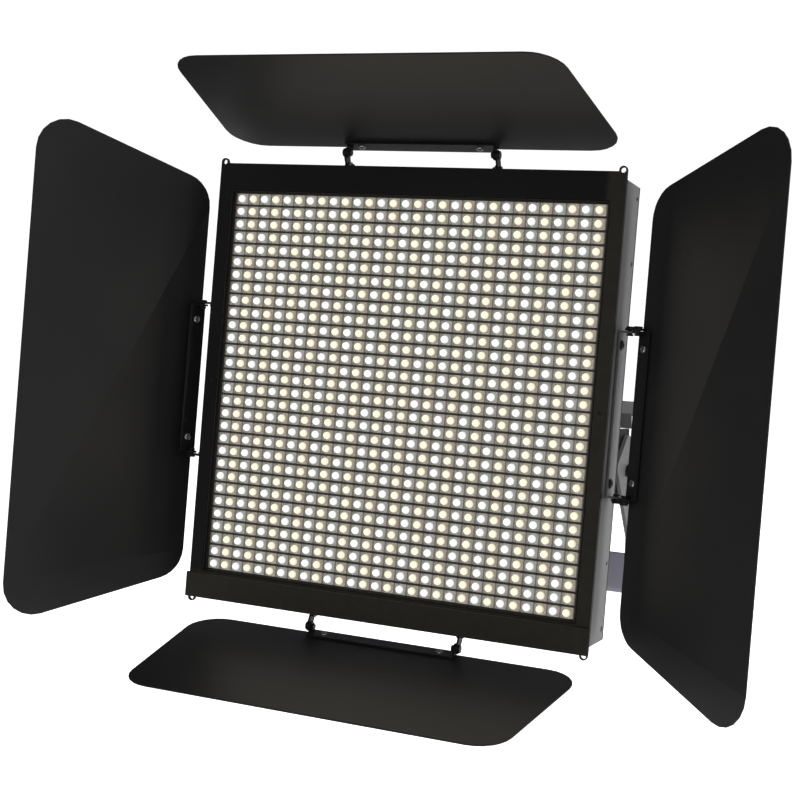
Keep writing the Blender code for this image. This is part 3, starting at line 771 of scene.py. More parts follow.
class Shape:
    """A mesh put together from turned, extruded and faceted parts."""

    def __init__(self) -> None:
        """Start empty."""
        self.bm = bmesh.new()

    def turned(self, profile: Sequence[Point], place: Matrix = Matrix(), steps: int = 20) -> "Shape":
        """Add a profile turned about Z.

        Args:
            profile: (radius, height) points from the axis round to the axis, or a closed ring.
            place: Where it goes.
            steps: Facets round.

        Returns:
            This shape.
        """
        rings = []
        for radius, height in profile:
            if radius <= 0:
                rings.append([self.bm.verts.new(place @ Vector((0.0, 0.0, height)))])
            else:
                rings.append([self.bm.verts.new(place @ Vector((u, v, height))) for u, v in circle(radius, steps)])
        pairs = list(zip(rings, rings[1:]))
        if profile[0][0] > 0 and profile[-1][0] > 0:
            pairs.append((rings[-1], rings[0]))
        for lower, upper in pairs:
            for i in range(steps):
                j = (i + 1) % steps
                corners = {0: lower[i % len(lower)], 1: lower[j % len(lower)], 2: upper[j % len(upper)],
                           3: upper[i % len(upper)]}
                unique = list(dict.fromkeys(corners.values()))
                if len(unique) > 2:
                    self.bm.faces.new(unique)
        return self

    def prism(self, outline: Sequence[Point], low: float, high: float, place: Matrix = Matrix()) -> "Shape":
        """Add an outline raised between two levels of Z.

        Args:
            outline: Points in order.
            low: Lower level.
            high: Upper level.
            place: Where it goes.

        Returns:
            This shape.
        """
        base = [self.bm.verts.new(place @ Vector((u, v, low))) for u, v in outline]
        top = [self.bm.verts.new(place @ Vector((u, v, high))) for u, v in outline]
        self.bm.faces.new(base[::-1])
        self.bm.faces.new(top)
        for i in range(len(outline)):
            self.bm.faces.new((base[i - 1], base[i], top[i], top[i - 1]))
        return self

    def bar(self, low: Triple, high: Triple, place: Matrix = Matrix()) -> "Shape":
        """Add a square-edged bar between two corners.

        Args:
            low: Lowest corner.
            high: Highest corner.
            place: Where it goes.

        Returns:
            This shape.
        """
        outline = [(low[0], low[1]), (high[0], low[1]), (high[0], high[1]), (low[0], high[1])]
        return self.prism(outline, low[2], high[2], place)

    def ring(self, outer: Sequence[Point], inner: Sequence[Point], low: float, high: float,
             place: Matrix = Matrix()) -> "Shape":
        """Add a flat ring between two outlines with the same number of points.

        Args:
            outer: Outside outline.
            inner: Inside outline.
            low: Lower level.
            high: Upper level.
            place: Where it goes.

        Returns:
            This shape.
        """
        loops = [[self.bm.verts.new(place @ Vector((u, v, level))) for u, v in outline]
                 for outline, level in ((outer, low), (outer, high), (inner, high), (inner, low))]
        for k in range(4):
            here, after = loops[k], loops[(k + 1) % 4]
            for i in range(len(outer)):
                self.bm.faces.new((here[i - 1], here[i], after[i], after[i - 1]))
        return self

    def copied(self, offsets: Iterable[Triple]) -> "Shape":
        """Repeat everything so far at each offset.

        Args:
            offsets: Where the copies go; the first form is dropped.

        Returns:
            A new shape that holds the copies.
        """
        mesh = bpy.data.meshes.new("tile")
        self.bm.to_mesh(mesh)
        self.bm.free()
        made = Shape()
        points = [vert.co.copy() for vert in mesh.vertices]
        faces = [tuple(face.vertices) for face in mesh.polygons]
        bpy.data.meshes.remove(mesh)
        for offset in offsets:
            move = Vector(offset)
            verts = [made.bm.verts.new(point + move) for point in points]
            for face in faces:
                made.bm.faces.new([verts[i] for i in face])
        return made

    def piece(self, name: str, body: str, finish: Finish, place: Matrix = Matrix(), bevel: float = 0.0,
              sharp: float = 35.0) -> bpy.types.Object:
        """Finish the shape as a piece that rides on a body.

        Args:
            name: The piece's name.
            body: CAD body that it moves with.
            finish: Its surface.
            place: Where it goes in the row frame.
            bevel: Width of the softened edges, in metres.
            sharp: Angle above which edges stay sharp, in degrees.

        Returns:
            The object.
        """
        bmesh.ops.recalc_face_normals(self.bm, faces=self.bm.faces)
        mesh = bpy.data.meshes.new(name)
        self.bm.to_mesh(mesh)
        self.bm.free()
        mesh.shade_smooth()
        mesh.set_sharp_from_angle(angle=math.radians(sharp))
        mesh.materials.append(finish.material())
        made = bpy.data.objects.new(name, mesh)
        bpy.context.scene.collection.objects.link(made)
        made.matrix_world = place
        if bevel:
            soften(made, bevel)
        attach(made, body)
        LOG.info("piece %s on %s: %d faces", name, body, len(mesh.polygons))
        return made


def soften(item: bpy.types.Object, width: float, segments: int = 2) -> None:
    """Round an object's sharp edges with a Bevel modifier.

    Args:
        item: The object.
        width: Width of the rounding, in metres.
        segments: Facets across it.
    """
    step = item.modifiers.new("soft_edges", "BEVEL")
    step.width = width
    step.segments = segments
    step.limit_method = "ANGLE"
    step.angle_limit = math.radians(38)
    step.harden_normals = False
    step.use_clamp_overlap = True


class Drive(Enum):
    """How a screw is turned."""

    CROSS = "cross"
    HEX = "hex"


def hexagon(radius: float, steps: int) -> List[Point]:
    """Points of a hexagon, with as many points as a circle that it is joined to.

    Args:
        radius: From the middle to a flat.
        steps: Number of points, a multiple of six.

    Returns:
        The points in order.
    """
    points = []
    for i in range(steps):
        turn = 2 * math.pi * i / steps
        reach = radius / math.cos((turn % (math.pi / 3)) - math.pi / 6)
        points.append((reach * math.cos(turn), reach * math.sin(turn)))
    return points


def screw(shape: Shape, place: Matrix, radius: float, height: float, drive: Drive = Drive.CROSS) -> None:
    """Add a screw head with its drive.

    Args:
        shape: Shape to add to.
        place: Where it goes, with +Z out of the surface.
        radius: Radius of the head.
        height: Height of the head.
        drive: The drive cut in its crown.
    """
    if drive is Drive.HEX:
        well = hexagon(radius * 0.45, 24)
        shape.prism(circle(radius, 24), 0.0, height * 0.4, place)
        shape.ring(circle(radius, 24), well, height * 0.4, height * 0.9, place)
        shape.ring(circle(radius * 0.9, 24), well, height * 0.9, height, place)
        return
    well, floor = radius * 0.42, height * 0.35
    profile = [(0.0, floor), (well, floor), (well, height), (radius * 0.62, height * 0.97),
               (radius * 0.88, height * 0.72), (radius, height * 0.30), (radius, 0.0), (0.0, 0.0)]
    shape.turned(profile, place, 16)
    for turn in (20.0, 110.0):
        blade = place @ Matrix.Rotation(math.radians(turn), 4, "Z")
        shape.bar((-well * 0.95, -well * 0.22, floor), (well * 0.95, well * 0.22, height * 0.62), blade)


def dress(nodes: Iterable[str], finish: Finish, edge: float = 0.0) -> None:
    """Give CAD nodes their finish and soften their edges.

    Args:
        nodes: Names of the nodes.
        finish: Their surface.
        edge: Width of the softened edges, in metres.
    """
    for name in nodes:
        item = frame["nodes"][name]
        item.data.materials.clear()
        item.data.materials.append(finish.material())
        if edge:
            weld = item.modifiers.new("weld", "WELD")
            weld.merge_threshold = 0.00001
            soften(item, edge)
        LOG.info("node %s: %s", name, finish.name)


# ================================================================ layout
def joint_place(name: str) -> Vector:
    """Where a joint's axis passes.

    Args:
        name: The joint.

    Returns:
        A point on its axis in the row frame.
    """
    return Vector(next(joint["pos_m"] for joint in frame["joints"] if joint["name"] == name))


TILT = math.radians(12.0)
TILT_POINT = joint_place("panel_tilt")
PANEL = Matrix.Translation(TILT_POINT) @ Matrix.Rotation(-TILT, 4, "X") @ Matrix.Translation((0.0, -0.098, 0.044))
INTO_PANEL = tuple(tuple(row) for row in PANEL.inverted())

BLACK_PAINT = PowderPaint("satin_black_powder", Slot.BLACK_PAINT, base=(0.0035, 0.0035, 0.0040),
                          worn_and_lit=(0.0070, 0.0066, 0.0062), gloss=(0.40, 0.54), specular=0.28)
GREY_PAINT = PowderPaint("grey_powder", Slot.GREY_PAINT, base=(0.150, 0.150, 0.154), worn_and_lit=(0.19, 0.19, 0.193),
                         gloss=(0.36, 0.48))
BAR_PAINT = PowderPaint("bar_powder", Slot.GREY_PLASTIC, base=(0.27, 0.26, 0.33), worn_and_lit=(0.32, 0.31, 0.38),
                        gloss=(0.40, 0.52))
FRAME_PAINT = FramePaint("frame_powder", Slot.BLACK_PAINT, base=BLACK_PAINT.base, worn_and_lit=BLACK_PAINT.worn_and_lit,
                         gloss=BLACK_PAINT.gloss, specular=BLACK_PAINT.specular, into_panel=INTO_PANEL)
BRACE_PAINT = PowderPaint("brace_powder", Slot.GREY_PAINT, base=(0.160, 0.160, 0.164), worn_and_lit=(0.185, 0.185, 0.189),
                          gloss=(0.36, 0.48))
# Its lighter tone serves both as the wear tone and as painted light towards the bottom.
CASING_PAINT = CasingPaint("casing_powder", Slot.GREY_PAINT, base=(0.150, 0.150, 0.153), worn_and_lit=(0.185, 0.185, 0.190),
                           gloss=(0.40, 0.52), into_panel=INTO_PANEL)
LEAF_PAINT = PowderPaint("leaf_powder", Slot.LEAF_PAINT, base=(0.0075, 0.0072, 0.0078),
                         worn_and_lit=(0.0130, 0.0121, 0.0115), gloss=(0.42, 0.52), grain=1900.0, specular=0.42)
BLACK_STEEL = Blackened("blackened_steel", Slot.DARK_STEEL)
RUBBED_STEEL = Blackened("rubbed_steel", Slot.DARK_STEEL, base=(0.020, 0.020, 0.021), rubbed=(0.42, 0.42, 0.43),
                         rub=0.52)
NICKEL = Metal("nickel_plate", Slot.PLATED, base=(0.62, 0.61, 0.58), gloss=(0.12, 0.26))
ALUMINIUM = Metal("turned_aluminium", Slot.ALUMINIUM, base=(0.60, 0.61, 0.62), gloss=(0.24, 0.42))
BOARD = SolderMask("solder_mask", Slot.BOARD)
LENS = LitLens("lit_lens", Slot.LENS)
CELLS = CellPlastic("cell_moulding", Slot.CELLS)
GLOSS_TRIM = Moulded("gloss_trim", Slot.BLACK_PLASTIC, base=(0.006, 0.006, 0.006), handled=(0.010, 0.010, 0.010),
                     gloss=(0.08, 0.16), grain=300.0)
BLACK_PLASTIC = Moulded("black_moulding", Slot.BLACK_PLASTIC)
GRIP_PLASTIC = Moulded("grip_moulding", Slot.BLACK_PLASTIC, base=(0.018, 0.018, 0.019), gloss=(0.50, 0.68),
                       grain=2200.0)
GREY_PLASTIC = Moulded("grey_moulding", Slot.GREY_PLASTIC, base=(0.22, 0.21, 0.25), handled=(0.28, 0.27, 0.31))
SCREEN = ScreenGlass("screen_glass", Slot.GLASS, into_panel=INTO_PANEL)
INK = PrintedInk("printed_ink", Slot.GREY_PLASTIC)


# ================================================================ sub-assemblies
@dataclass
class LampField:
    """Lit lamps in their moulded cells, and the glossy liner of the window."""

    rows: int = 30
    pitch: float = 0.010
    lens_radius: float = 0.0029
    tip: float = -0.0022
    cell_front: float = 0.0020
    cell_back: float = 0.0077
    rim_level: float = 0.0042
    rim_upright: float = 0.0046
    window: Point = (0.1535, 0.1515)
    grid_half: float = 0.158

    def offset(self, index: int) -> float:
        """Position of a row or column.

        Args:
            index: Its number.

        Returns:
            Distance from the middle of the field.
        """
        return (index + 0.5 - self.rows / 2) * self.pitch

    def build(self) -> None:
        """Build the lamps, the cells and the liner."""
        self.lenses("lamp_domes_cool", range(0, self.rows, 2))
        warm = self.lenses("lamp_domes_warm", range(1, self.rows, 2))
        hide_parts("led_array")
        self.cells()
        self.liner()
        dress(["led_board", "driver_board_left", "driver_board_right", "control_board"], BOARD)
        dress(["heat_spreader", "power_supply"], ALUMINIUM)

    def lenses(self, name: str, columns: Iterable[int]) -> bpy.types.Object:
        """Build the domes of some columns.

        Args:
            name: The piece's name.
            columns: Numbers of the columns.

        Returns:
            The piece.
        """
        radius, depth = self.lens_radius, self.cell_back - self.tip - 0.0002
        skirt = radius + 0.0004
        profile = [(0.0, depth)]
        for turn in (72, 50, 28, 0):
            angle = math.radians(turn)
            profile.append((radius * math.cos(angle), depth - radius + radius * math.sin(angle)))
        profile += [(radius, 0.0012), (skirt, 0.0012), (skirt, 0.0)]
        dome = Shape()
        base = facing(0.0, self.cell_back - 0.0002, 0.0, TO_FRONT)
        dome.turned(profile + [(skirt * 0.9, 0.0)], base, 14)
        places = [(self.offset(column), 0.0, self.offset(row)) for column in columns for row in range(self.rows)]
        return dome.copied(places).piece(name, "panel", LENS, PANEL, sharp=60.0)

    def cells(self) -> None:
        """Build the moulding: a flat face with a tapered recess round every lamp."""
        half = self.pitch / 2
        wide, tall, shrink = self.rim_upright, self.rim_level, 0.00045
        loops = []
        for across, up, level in ((half, half, self.cell_front), (wide, tall, self.cell_front),
                                  (wide - shrink, tall - shrink, self.cell_back - 0.0005)):
            loops.append([(-across, level, -up), (across, level, -up), (across, level, up), (-across, level, up)])
        tile = Shape()
        rings = [[tile.bm.verts.new(corner) for corner in loop] for loop in loops]
        for outer, inner in zip(rings, rings[1:]):
            for i in range(4):
                tile.bm.faces.new((outer[i - 1], outer[i], inner[i], inner[i - 1]))
        tile.bm.faces.new(rings[-1])
        places = [(self.offset(column), 0.0, self.offset(row))
                  for column in range(self.rows) for row in range(self.rows)]
        grid = tile.copied(places)
        edge, field_half = self.grid_half, self.rows * self.pitch / 2
        corners = [(-1, -1), (1, -1), (1, 1), (-1, 1)]
        border = [[grid.bm.verts.new((u * reach, level, v * reach)) for u, v in corners]
                  for reach, level in ((field_half, self.cell_front), (edge, self.cell_front),
                                       (edge, self.cell_back), (field_half, self.cell_back))]
        for outer, inner in zip(border, border[1:]):
            for i in range(4):
                grid.bm.faces.new((outer[i - 1], outer[i], inner[i], inner[i - 1]))
        bmesh.ops.remove_doubles(grid.bm, verts=grid.bm.verts, dist=0.00001)
        made = grid.piece("reflector_cells", "panel", CELLS, PANEL, sharp=20.0)
        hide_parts("reflector_grid")

    def liner(self) -> None:
        """Build the glossy liner round the window's edge."""
        wide, tall = self.window[0] - 0.0003, self.window[1] - 0.0003
        wall = 0.0006
        outer = [(-wide, -tall), (wide, -tall), (wide, tall), (-wide, tall)]
        inner = [(u * (1 - wall / wide), v * (1 - wall / tall)) for u, v in outer]
        stand = Matrix.Rotation(math.radians(90), 4, "X")
        liner = Shape().ring(outer, inner, -0.0016, 0.0026, stand)
        liner.piece("window_liner", "panel", GLOSS_TRIM, PANEL, bevel=0.00012)


@dataclass
class Casing:
    """Front frame, folded casing, rear cover, tilt ears and their screws."""

    half: Point = (0.164, 0.167)
    back: float = 0.040
    ear_inner: float = 0.15155
    vent_low: float = -0.134
    vent_high: float = -0.078
    cover_rows: Tuple[float, ...] = (-0.145, -0.090, 0.005, 0.075, 0.145)
    cover_columns: Tuple[float, ...] = (-0.095, 0.0, 0.095)
    foot_rows: Point = (-0.023, -0.0545)
    rivets_along: Tuple[float, ...] = (-0.158, -0.110, 0.110, 0.158)
    rivets_across: Tuple[float, ...] = (-0.150, -0.105, 0.105, 0.150)
    rivet_depth: float = 0.0325

    def build(self) -> None:
        """Finish the CAD nodes and add the small hardware."""
        dress(["front_frame", "bottom_rail"], FRAME_PAINT, 0.0003)
        dress(["rear_cover", "control_housing"], BLACK_PAINT, 0.0003)
        dress(["side_casing"], CASING_PAINT, 0.0003)
        dress(["tilt_ear_left", "tilt_ear_right"], BLACK_PAINT, 0.0004)
        self.frame_screws()
        self.cover_screws()
        self.side_rivets()
        self.vent_screen()

    def frame_screws(self) -> None:
        """Build the two small screws in the side strips of the front frame."""
        heads = Shape()
        for side in (-1, 1):
            screw(heads, facing(side * 0.1583, -0.003, 0.0, TO_FRONT), 0.0015, 0.0004)
        heads.piece("frame_screws", "panel", BLACK_STEEL, PANEL)

    def cover_screws(self) -> None:
        """Build the screws of the rear cover and of the ears' feet."""
        heads = Shape()
        wide, tall = self.half[0] - 0.007, self.half[1] - 0.006
        for side in (-1, 1):
            for up in self.cover_rows:
                screw(heads, facing(side * wide, self.back, up, TO_BACK), 0.0026, 0.0014)
            for across in self.cover_columns:
                screw(heads, facing(across, self.back, side * tall, TO_BACK), 0.0026, 0.0014)
        heads.piece("cover_screws", "panel", BLACK_STEEL, PANEL)
        feet = Shape()
        across, foot = self.ear_inner - 0.009, self.back + 0.0033
        for side in (-1, 1):
            for up in self.foot_rows:
                screw(feet, facing(side * across, foot, up, TO_BACK), 0.0036, 0.0022, Drive.HEX)
        feet.piece("ear_screws", "panel", BLACK_STEEL, PANEL)

    def side_rivets(self) -> None:
        """Build the flush rivets that close the casing's corners."""
        heads = Shape()
        profile = [(0.0, 0.0005), (0.0012, 0.00045), (0.0021, 0.0001), (0.0021, 0.0), (0.0, 0.0)]
        for side, turn in ((-1, TO_LEFT), (1, TO_RIGHT)):
            for up in self.rivets_along:
                heads.turned(profile, facing(side * self.half[0], self.rivet_depth, up, turn), 14)
        for side, turn in ((-1, TO_FLOOR), (1, UPRIGHT)):
            for across in self.rivets_across:
                heads.turned(profile, facing(across, self.rivet_depth, side * self.half[1], turn), 14)
        heads.piece("casing_rivets", "panel", RUBBED_STEEL, PANEL)

    def vent_screen(self) -> None:
        """Build the wire screen behind the vents."""
        wires = Shape()
        wire, step, half = 0.00022, 0.0024, 0.070
        count = int(2 * half / step)
        for i in range(count + 1):
            x = -half + i * step
            wires.bar((x - wire, 0.0372, self.vent_low), (x + wire, 0.0376, self.vent_high))
        for i in range(int((self.vent_high - self.vent_low) / step) + 1):
            z = self.vent_low + i * step
            wires.bar((-half, 0.0376, z - wire), (half, 0.0380, z + wire))
        wires.piece("vent_screen", "panel", BLACK_STEEL, PANEL)


@dataclass
class BarnDoor:
    """One door: its leaf, links, bracket, strip and their screws."""

    name: str
    turn: float
    half: float
    link_angle: float
    opening: float
    pivot: Point = (0.007, 0.016)
    link_length: float = 0.012
    screw_offset: float = 0.050
    screw_depth: float = 0.0135
    rivet_offset: float = 0.048

    def base(self) -> Matrix:
        """Frame on the body's side.

        Returns:
            The frame in the row frame: X outward, Y in depth, Z along the hinge.
        """
        turned = Matrix.Rotation(math.radians(self.turn), 4, "Y")
        return PANEL @ turned @ Matrix.Translation((self.half, 0.0, 0.0))

    def leaf_frame(self) -> Matrix:
        """Frame about the leaf's hinge.

        Returns:
            The frame in the row frame: X along the leaf, Y out of its outer face, Z along the hinge.
        """
        swing = Matrix.Translation((*self.pivot, 0.0)) @ Matrix.Rotation(math.radians(self.link_angle), 4, "Z")
        fold = Matrix.Rotation(-math.radians(self.opening + self.link_angle), 4, "Z")
        return self.base() @ swing @ Matrix.Translation((self.link_length, 0.0, 0.0)) @ fold

    def build(self) -> None:
        """Finish the CAD nodes and add the screws."""
        dress([f"{self.name}_leaf"], LEAF_PAINT, 0.0003)
        dress([f"{self.name}_body_bracket"], CASING_PAINT, 0.0002)
        dress([f"{self.name}_{part}" for part in ("leaf_bracket", "link_a", "link_b")], BLACK_STEEL, 0.0002)
        body = Shape()
        strip = Shape()
        tails = Shape()
        for side in (-1, 1):
            at = side * self.screw_offset
            screw(body, facing(0.0018, self.screw_depth, at, TO_RIGHT), 0.0036, 0.0019)
            at = side * self.rivet_offset
            screw(strip, facing(0.0030, 0.0036, at, TO_FRONT), 0.0028, 0.0013)
            profile = [(0.0, 0.0009), (0.0014, 0.0008), (0.0024, 0.0003), (0.0025, 0.0), (0.0, 0.0)]
            tails.turned(profile, facing(0.0030, 0.0066, at, TO_BACK), 16)
        body.piece(f"{self.name}_bracket_screws", "panel", BLACK_STEEL, self.base())
        strip.piece(f"{self.name}_strip_screws", f"{self.name}_door", NICKEL, self.leaf_frame())
        tails.piece(f"{self.name}_rivet_tails", f"{self.name}_door", BLACK_STEEL, self.leaf_frame())


@dataclass
class ControlPanel:
    """Rear controls: dials, buttons, rocker, inlet, data sockets and printed marks."""

    front: float = 0.0623
    back: float = 0.0643
    upper: float = 0.079
    lower: float = 0.035
    dial_x: float = 0.048
    dial_radius: float = 0.010
    dial_ribs: int = 28
    dial_swing: float = 135.0
    dial_ticks: int = 11
    button_x: float = 0.011
    button_z: float = 0.055
    inlet_x: float = -0.0225
    rocker_x: float = -0.0555
    data_in_x: float = 0.0145
    data_out_x: float = 0.0515

    def build(self) -> None:
        """Finish the CAD nodes and add the details."""
        dress(["control_plate"], BLACK_PLASTIC, 0.0003)
        dress(["dimmer_dial", "colour_dial"], GRIP_PLASTIC, 0.0004)
        dress(["power_inlet", "power_rocker"], BLACK_PLASTIC, 0.0003)
        dress(["menu_button", "set_button"], GREY_PLASTIC, 0.0004)
        dress(["data_in_socket", "data_out_socket"], NICKEL, 0.0003)
        dress(["display_window"], SCREEN)
        self.dial("dimmer", -self.dial_x)
        self.dial("colour", self.dial_x)
        self.scales()
        self.button_marks()
        self.sockets()
        self.inlet_blades()
        self.rocker_marks()
        self.plate_screws()

    def dial(self, word: str, x: float) -> None:
        """Build a dial's grip ribs, its raised cap and its index mark.

        Args:
            word: Which dial.
            x: Its place across.
        """
        body = f"{word}_dial"
        place = PANEL @ facing(x, self.front, self.upper, TO_BACK)
        ribs = Shape()
        root, crest = self.dial_radius - 0.0005, self.dial_radius + 0.0002
        for i in range(self.dial_ribs):
            turn = Matrix.Rotation(2 * math.pi * i / self.dial_ribs, 4, "Z")
            ribs.bar((root, -0.00045, 0.0036), (crest, 0.00045, 0.0106), turn)
        ribs.piece(f"{word}_grip_ribs", body, GRIP_PLASTIC, place, bevel=0.00015)
        cap = Shape().turned([(0.0, 0.0124), (0.0060, 0.0124), (0.0068, 0.0128), (0.0080, 0.0128), (0.0084, 0.0124),
                              (0.0084, 0.0118), (0.0, 0.0118)], steps=32)
        cap.piece(f"{word}_cap", body, GREY_PLASTIC, place)
        mark = Shape().bar((-0.00045, -0.0078, 0.0124), (0.00045, -0.0030, 0.01295))
        mark.piece(f"{word}_index", body, INK, place)

    def scales(self) -> None:
        """Build the printed ticks round both dials."""
        ticks = Shape()
        for side in (-1, 1):
            place = facing(side * self.dial_x, self.back, self.upper, TO_BACK)
            for i in range(self.dial_ticks):
                long = 0.0006 if i % 5 == 0 else 0.0
                angle = self.dial_swing * (2 * i / (self.dial_ticks - 1) - 1)
                turn = place @ Matrix.Rotation(math.radians(angle), 4, "Z")
                ticks.bar((-0.0003, -0.0139 - long, 0.0), (0.0003, -0.0122, 0.00006), turn)
        ticks.piece("scale_ticks", "panel", INK, PANEL)

    def button_marks(self) -> None:
        """Build the plain symbols above the buttons."""
        marks = Shape()
        place = facing(-self.button_x, self.back, self.button_z + 0.0085, TO_BACK)
        for i in (-1, 0, 1):
            marks.bar((-0.0018, -0.00025 + i * 0.0011, 0.0), (0.0018, 0.00025 + i * 0.0011, 0.00006), place)
        place = facing(self.button_x, self.back, self.button_z + 0.0085, TO_BACK)
        marks.ring(circle(0.0017, 20), circle(0.0012, 20), 0.0, 0.00006, place)
        marks.piece("button_marks", "panel", INK, PANEL)

    def sockets(self) -> None:
        """Build the contacts and inserts of the two data sockets."""
        pins = Shape()
        inserts = Shape()
        for x, word in ((self.data_in_x, "in"), (self.data_out_x, "out")):
            place = facing(x, self.front - 0.004, self.lower, TO_BACK)
            height = 0.0006 if word == "in" else 0.0034
            inserts.turned([(0.0, height), (0.0080, height), (0.0085, height - 0.0004), (0.0085, 0.0001),
                            (0.0, 0.0001)], place, 28)
            inserts.bar((-0.0012, 0.0070, 0.0002), (0.0012, 0.0088, 0.0055), place)
            for turn in (-150, -90, -30, 30, 150):
                angle = math.radians(turn)
                u, v = 0.0048 * math.cos(angle), 0.0048 * math.sin(angle)
                pin = place @ Matrix.Translation((u, v, 0.0))
                top = 0.0052 if word == "in" else height + 0.00012
                pins.turned([(0.0, top), (0.0005, top), (0.0008, top - 0.0001 if word == "out" else top - 0.0006),
                             (0.0008, 0.0002), (0.0, 0.0002)], pin, 12)
        inserts.piece("socket_inserts", "panel", BLACK_PLASTIC, PANEL)
        pins.piece("socket_contacts", "panel", NICKEL, PANEL)
        screws = Shape()
        for x in (self.data_in_x, self.data_out_x):
            for u, v in ((-0.0145, 0.0110), (0.0145, -0.0110)):
                screw(screws, facing(x + u, self.back, self.lower + v, TO_BACK), 0.0018, 0.0009)
        screws.piece("socket_screws", "panel", BLACK_STEEL, PANEL)

    def inlet_blades(self) -> None:
        """Build the three blades and the bezel of the mains inlet."""
        blades = Shape()
        for across, up in ((-0.007, -0.002), (0.0, 0.002), (0.007, -0.002)):
            low = (self.inlet_x + across - 0.001, self.front - 0.0119, self.lower + up - 0.002)
            high = (self.inlet_x + across + 0.001, self.front - 0.0010, self.lower + up + 0.002)
            blades.bar(low, high)
        blades.piece("inlet_blades", "panel", NICKEL, PANEL, bevel=0.0003)
        outer = [(-0.0160, -0.0125), (0.0160, -0.0125), (0.0160, 0.0125), (-0.0160, 0.0125)]
        inner = [(-0.01365, -0.01015), (0.01365, -0.01015), (0.01365, 0.01015), (-0.01365, 0.01015)]
        bezel = Shape()
        bezel.ring(outer, inner, 0.0, 0.0009, facing(self.inlet_x, self.back, self.lower, TO_BACK))
        small = [(u * 0.72, v * 0.72) for u, v in outer]
        hole = [(-0.0099, -0.0069), (0.0099, -0.0069), (0.0099, 0.0069), (-0.0099, 0.0069)]
        bezel.ring(small, hole, 0.0, 0.0008, facing(self.rocker_x, self.back, self.lower, TO_BACK))
        bezel.piece("inlet_bezels", "panel", BLACK_PLASTIC, PANEL, bevel=0.0003)

    def rocker_marks(self) -> None:
        """Build the plain on and off marks on the rocker's two faces."""
        marks = Shape()
        pivot = self.front - 0.001
        lean = math.degrees(math.atan2(0.00165, 0.0057))
        place = facing(self.rocker_x, pivot + 0.00290, self.lower + 0.0027, (-90.0 + lean, "X"))
        marks.ring(circle(0.0014, 20), circle(0.0010, 20), 0.0, 0.00012, place)
        lean = math.degrees(math.atan2(0.00055, 0.0057))
        place = facing(self.rocker_x, pivot + 0.00394, self.lower - 0.0027, (-90.0 + lean, "X"))
        marks.bar((-0.0002, -0.0013, 0.0), (0.0002, 0.0013, 0.00012), place)
        marks.piece("rocker_marks", "power_rocker", INK, PANEL)

    def plate_screws(self) -> None:
        """Build the four screws of the control plate."""
        heads = Shape()
        for side in (-1, 1):
            for up in (0.0195, 0.1005):
                screw(heads, facing(side * 0.0705, self.back, up, TO_BACK), 0.0024, 0.0013)
        heads.piece("plate_screws", "panel", BLACK_STEEL, PANEL)


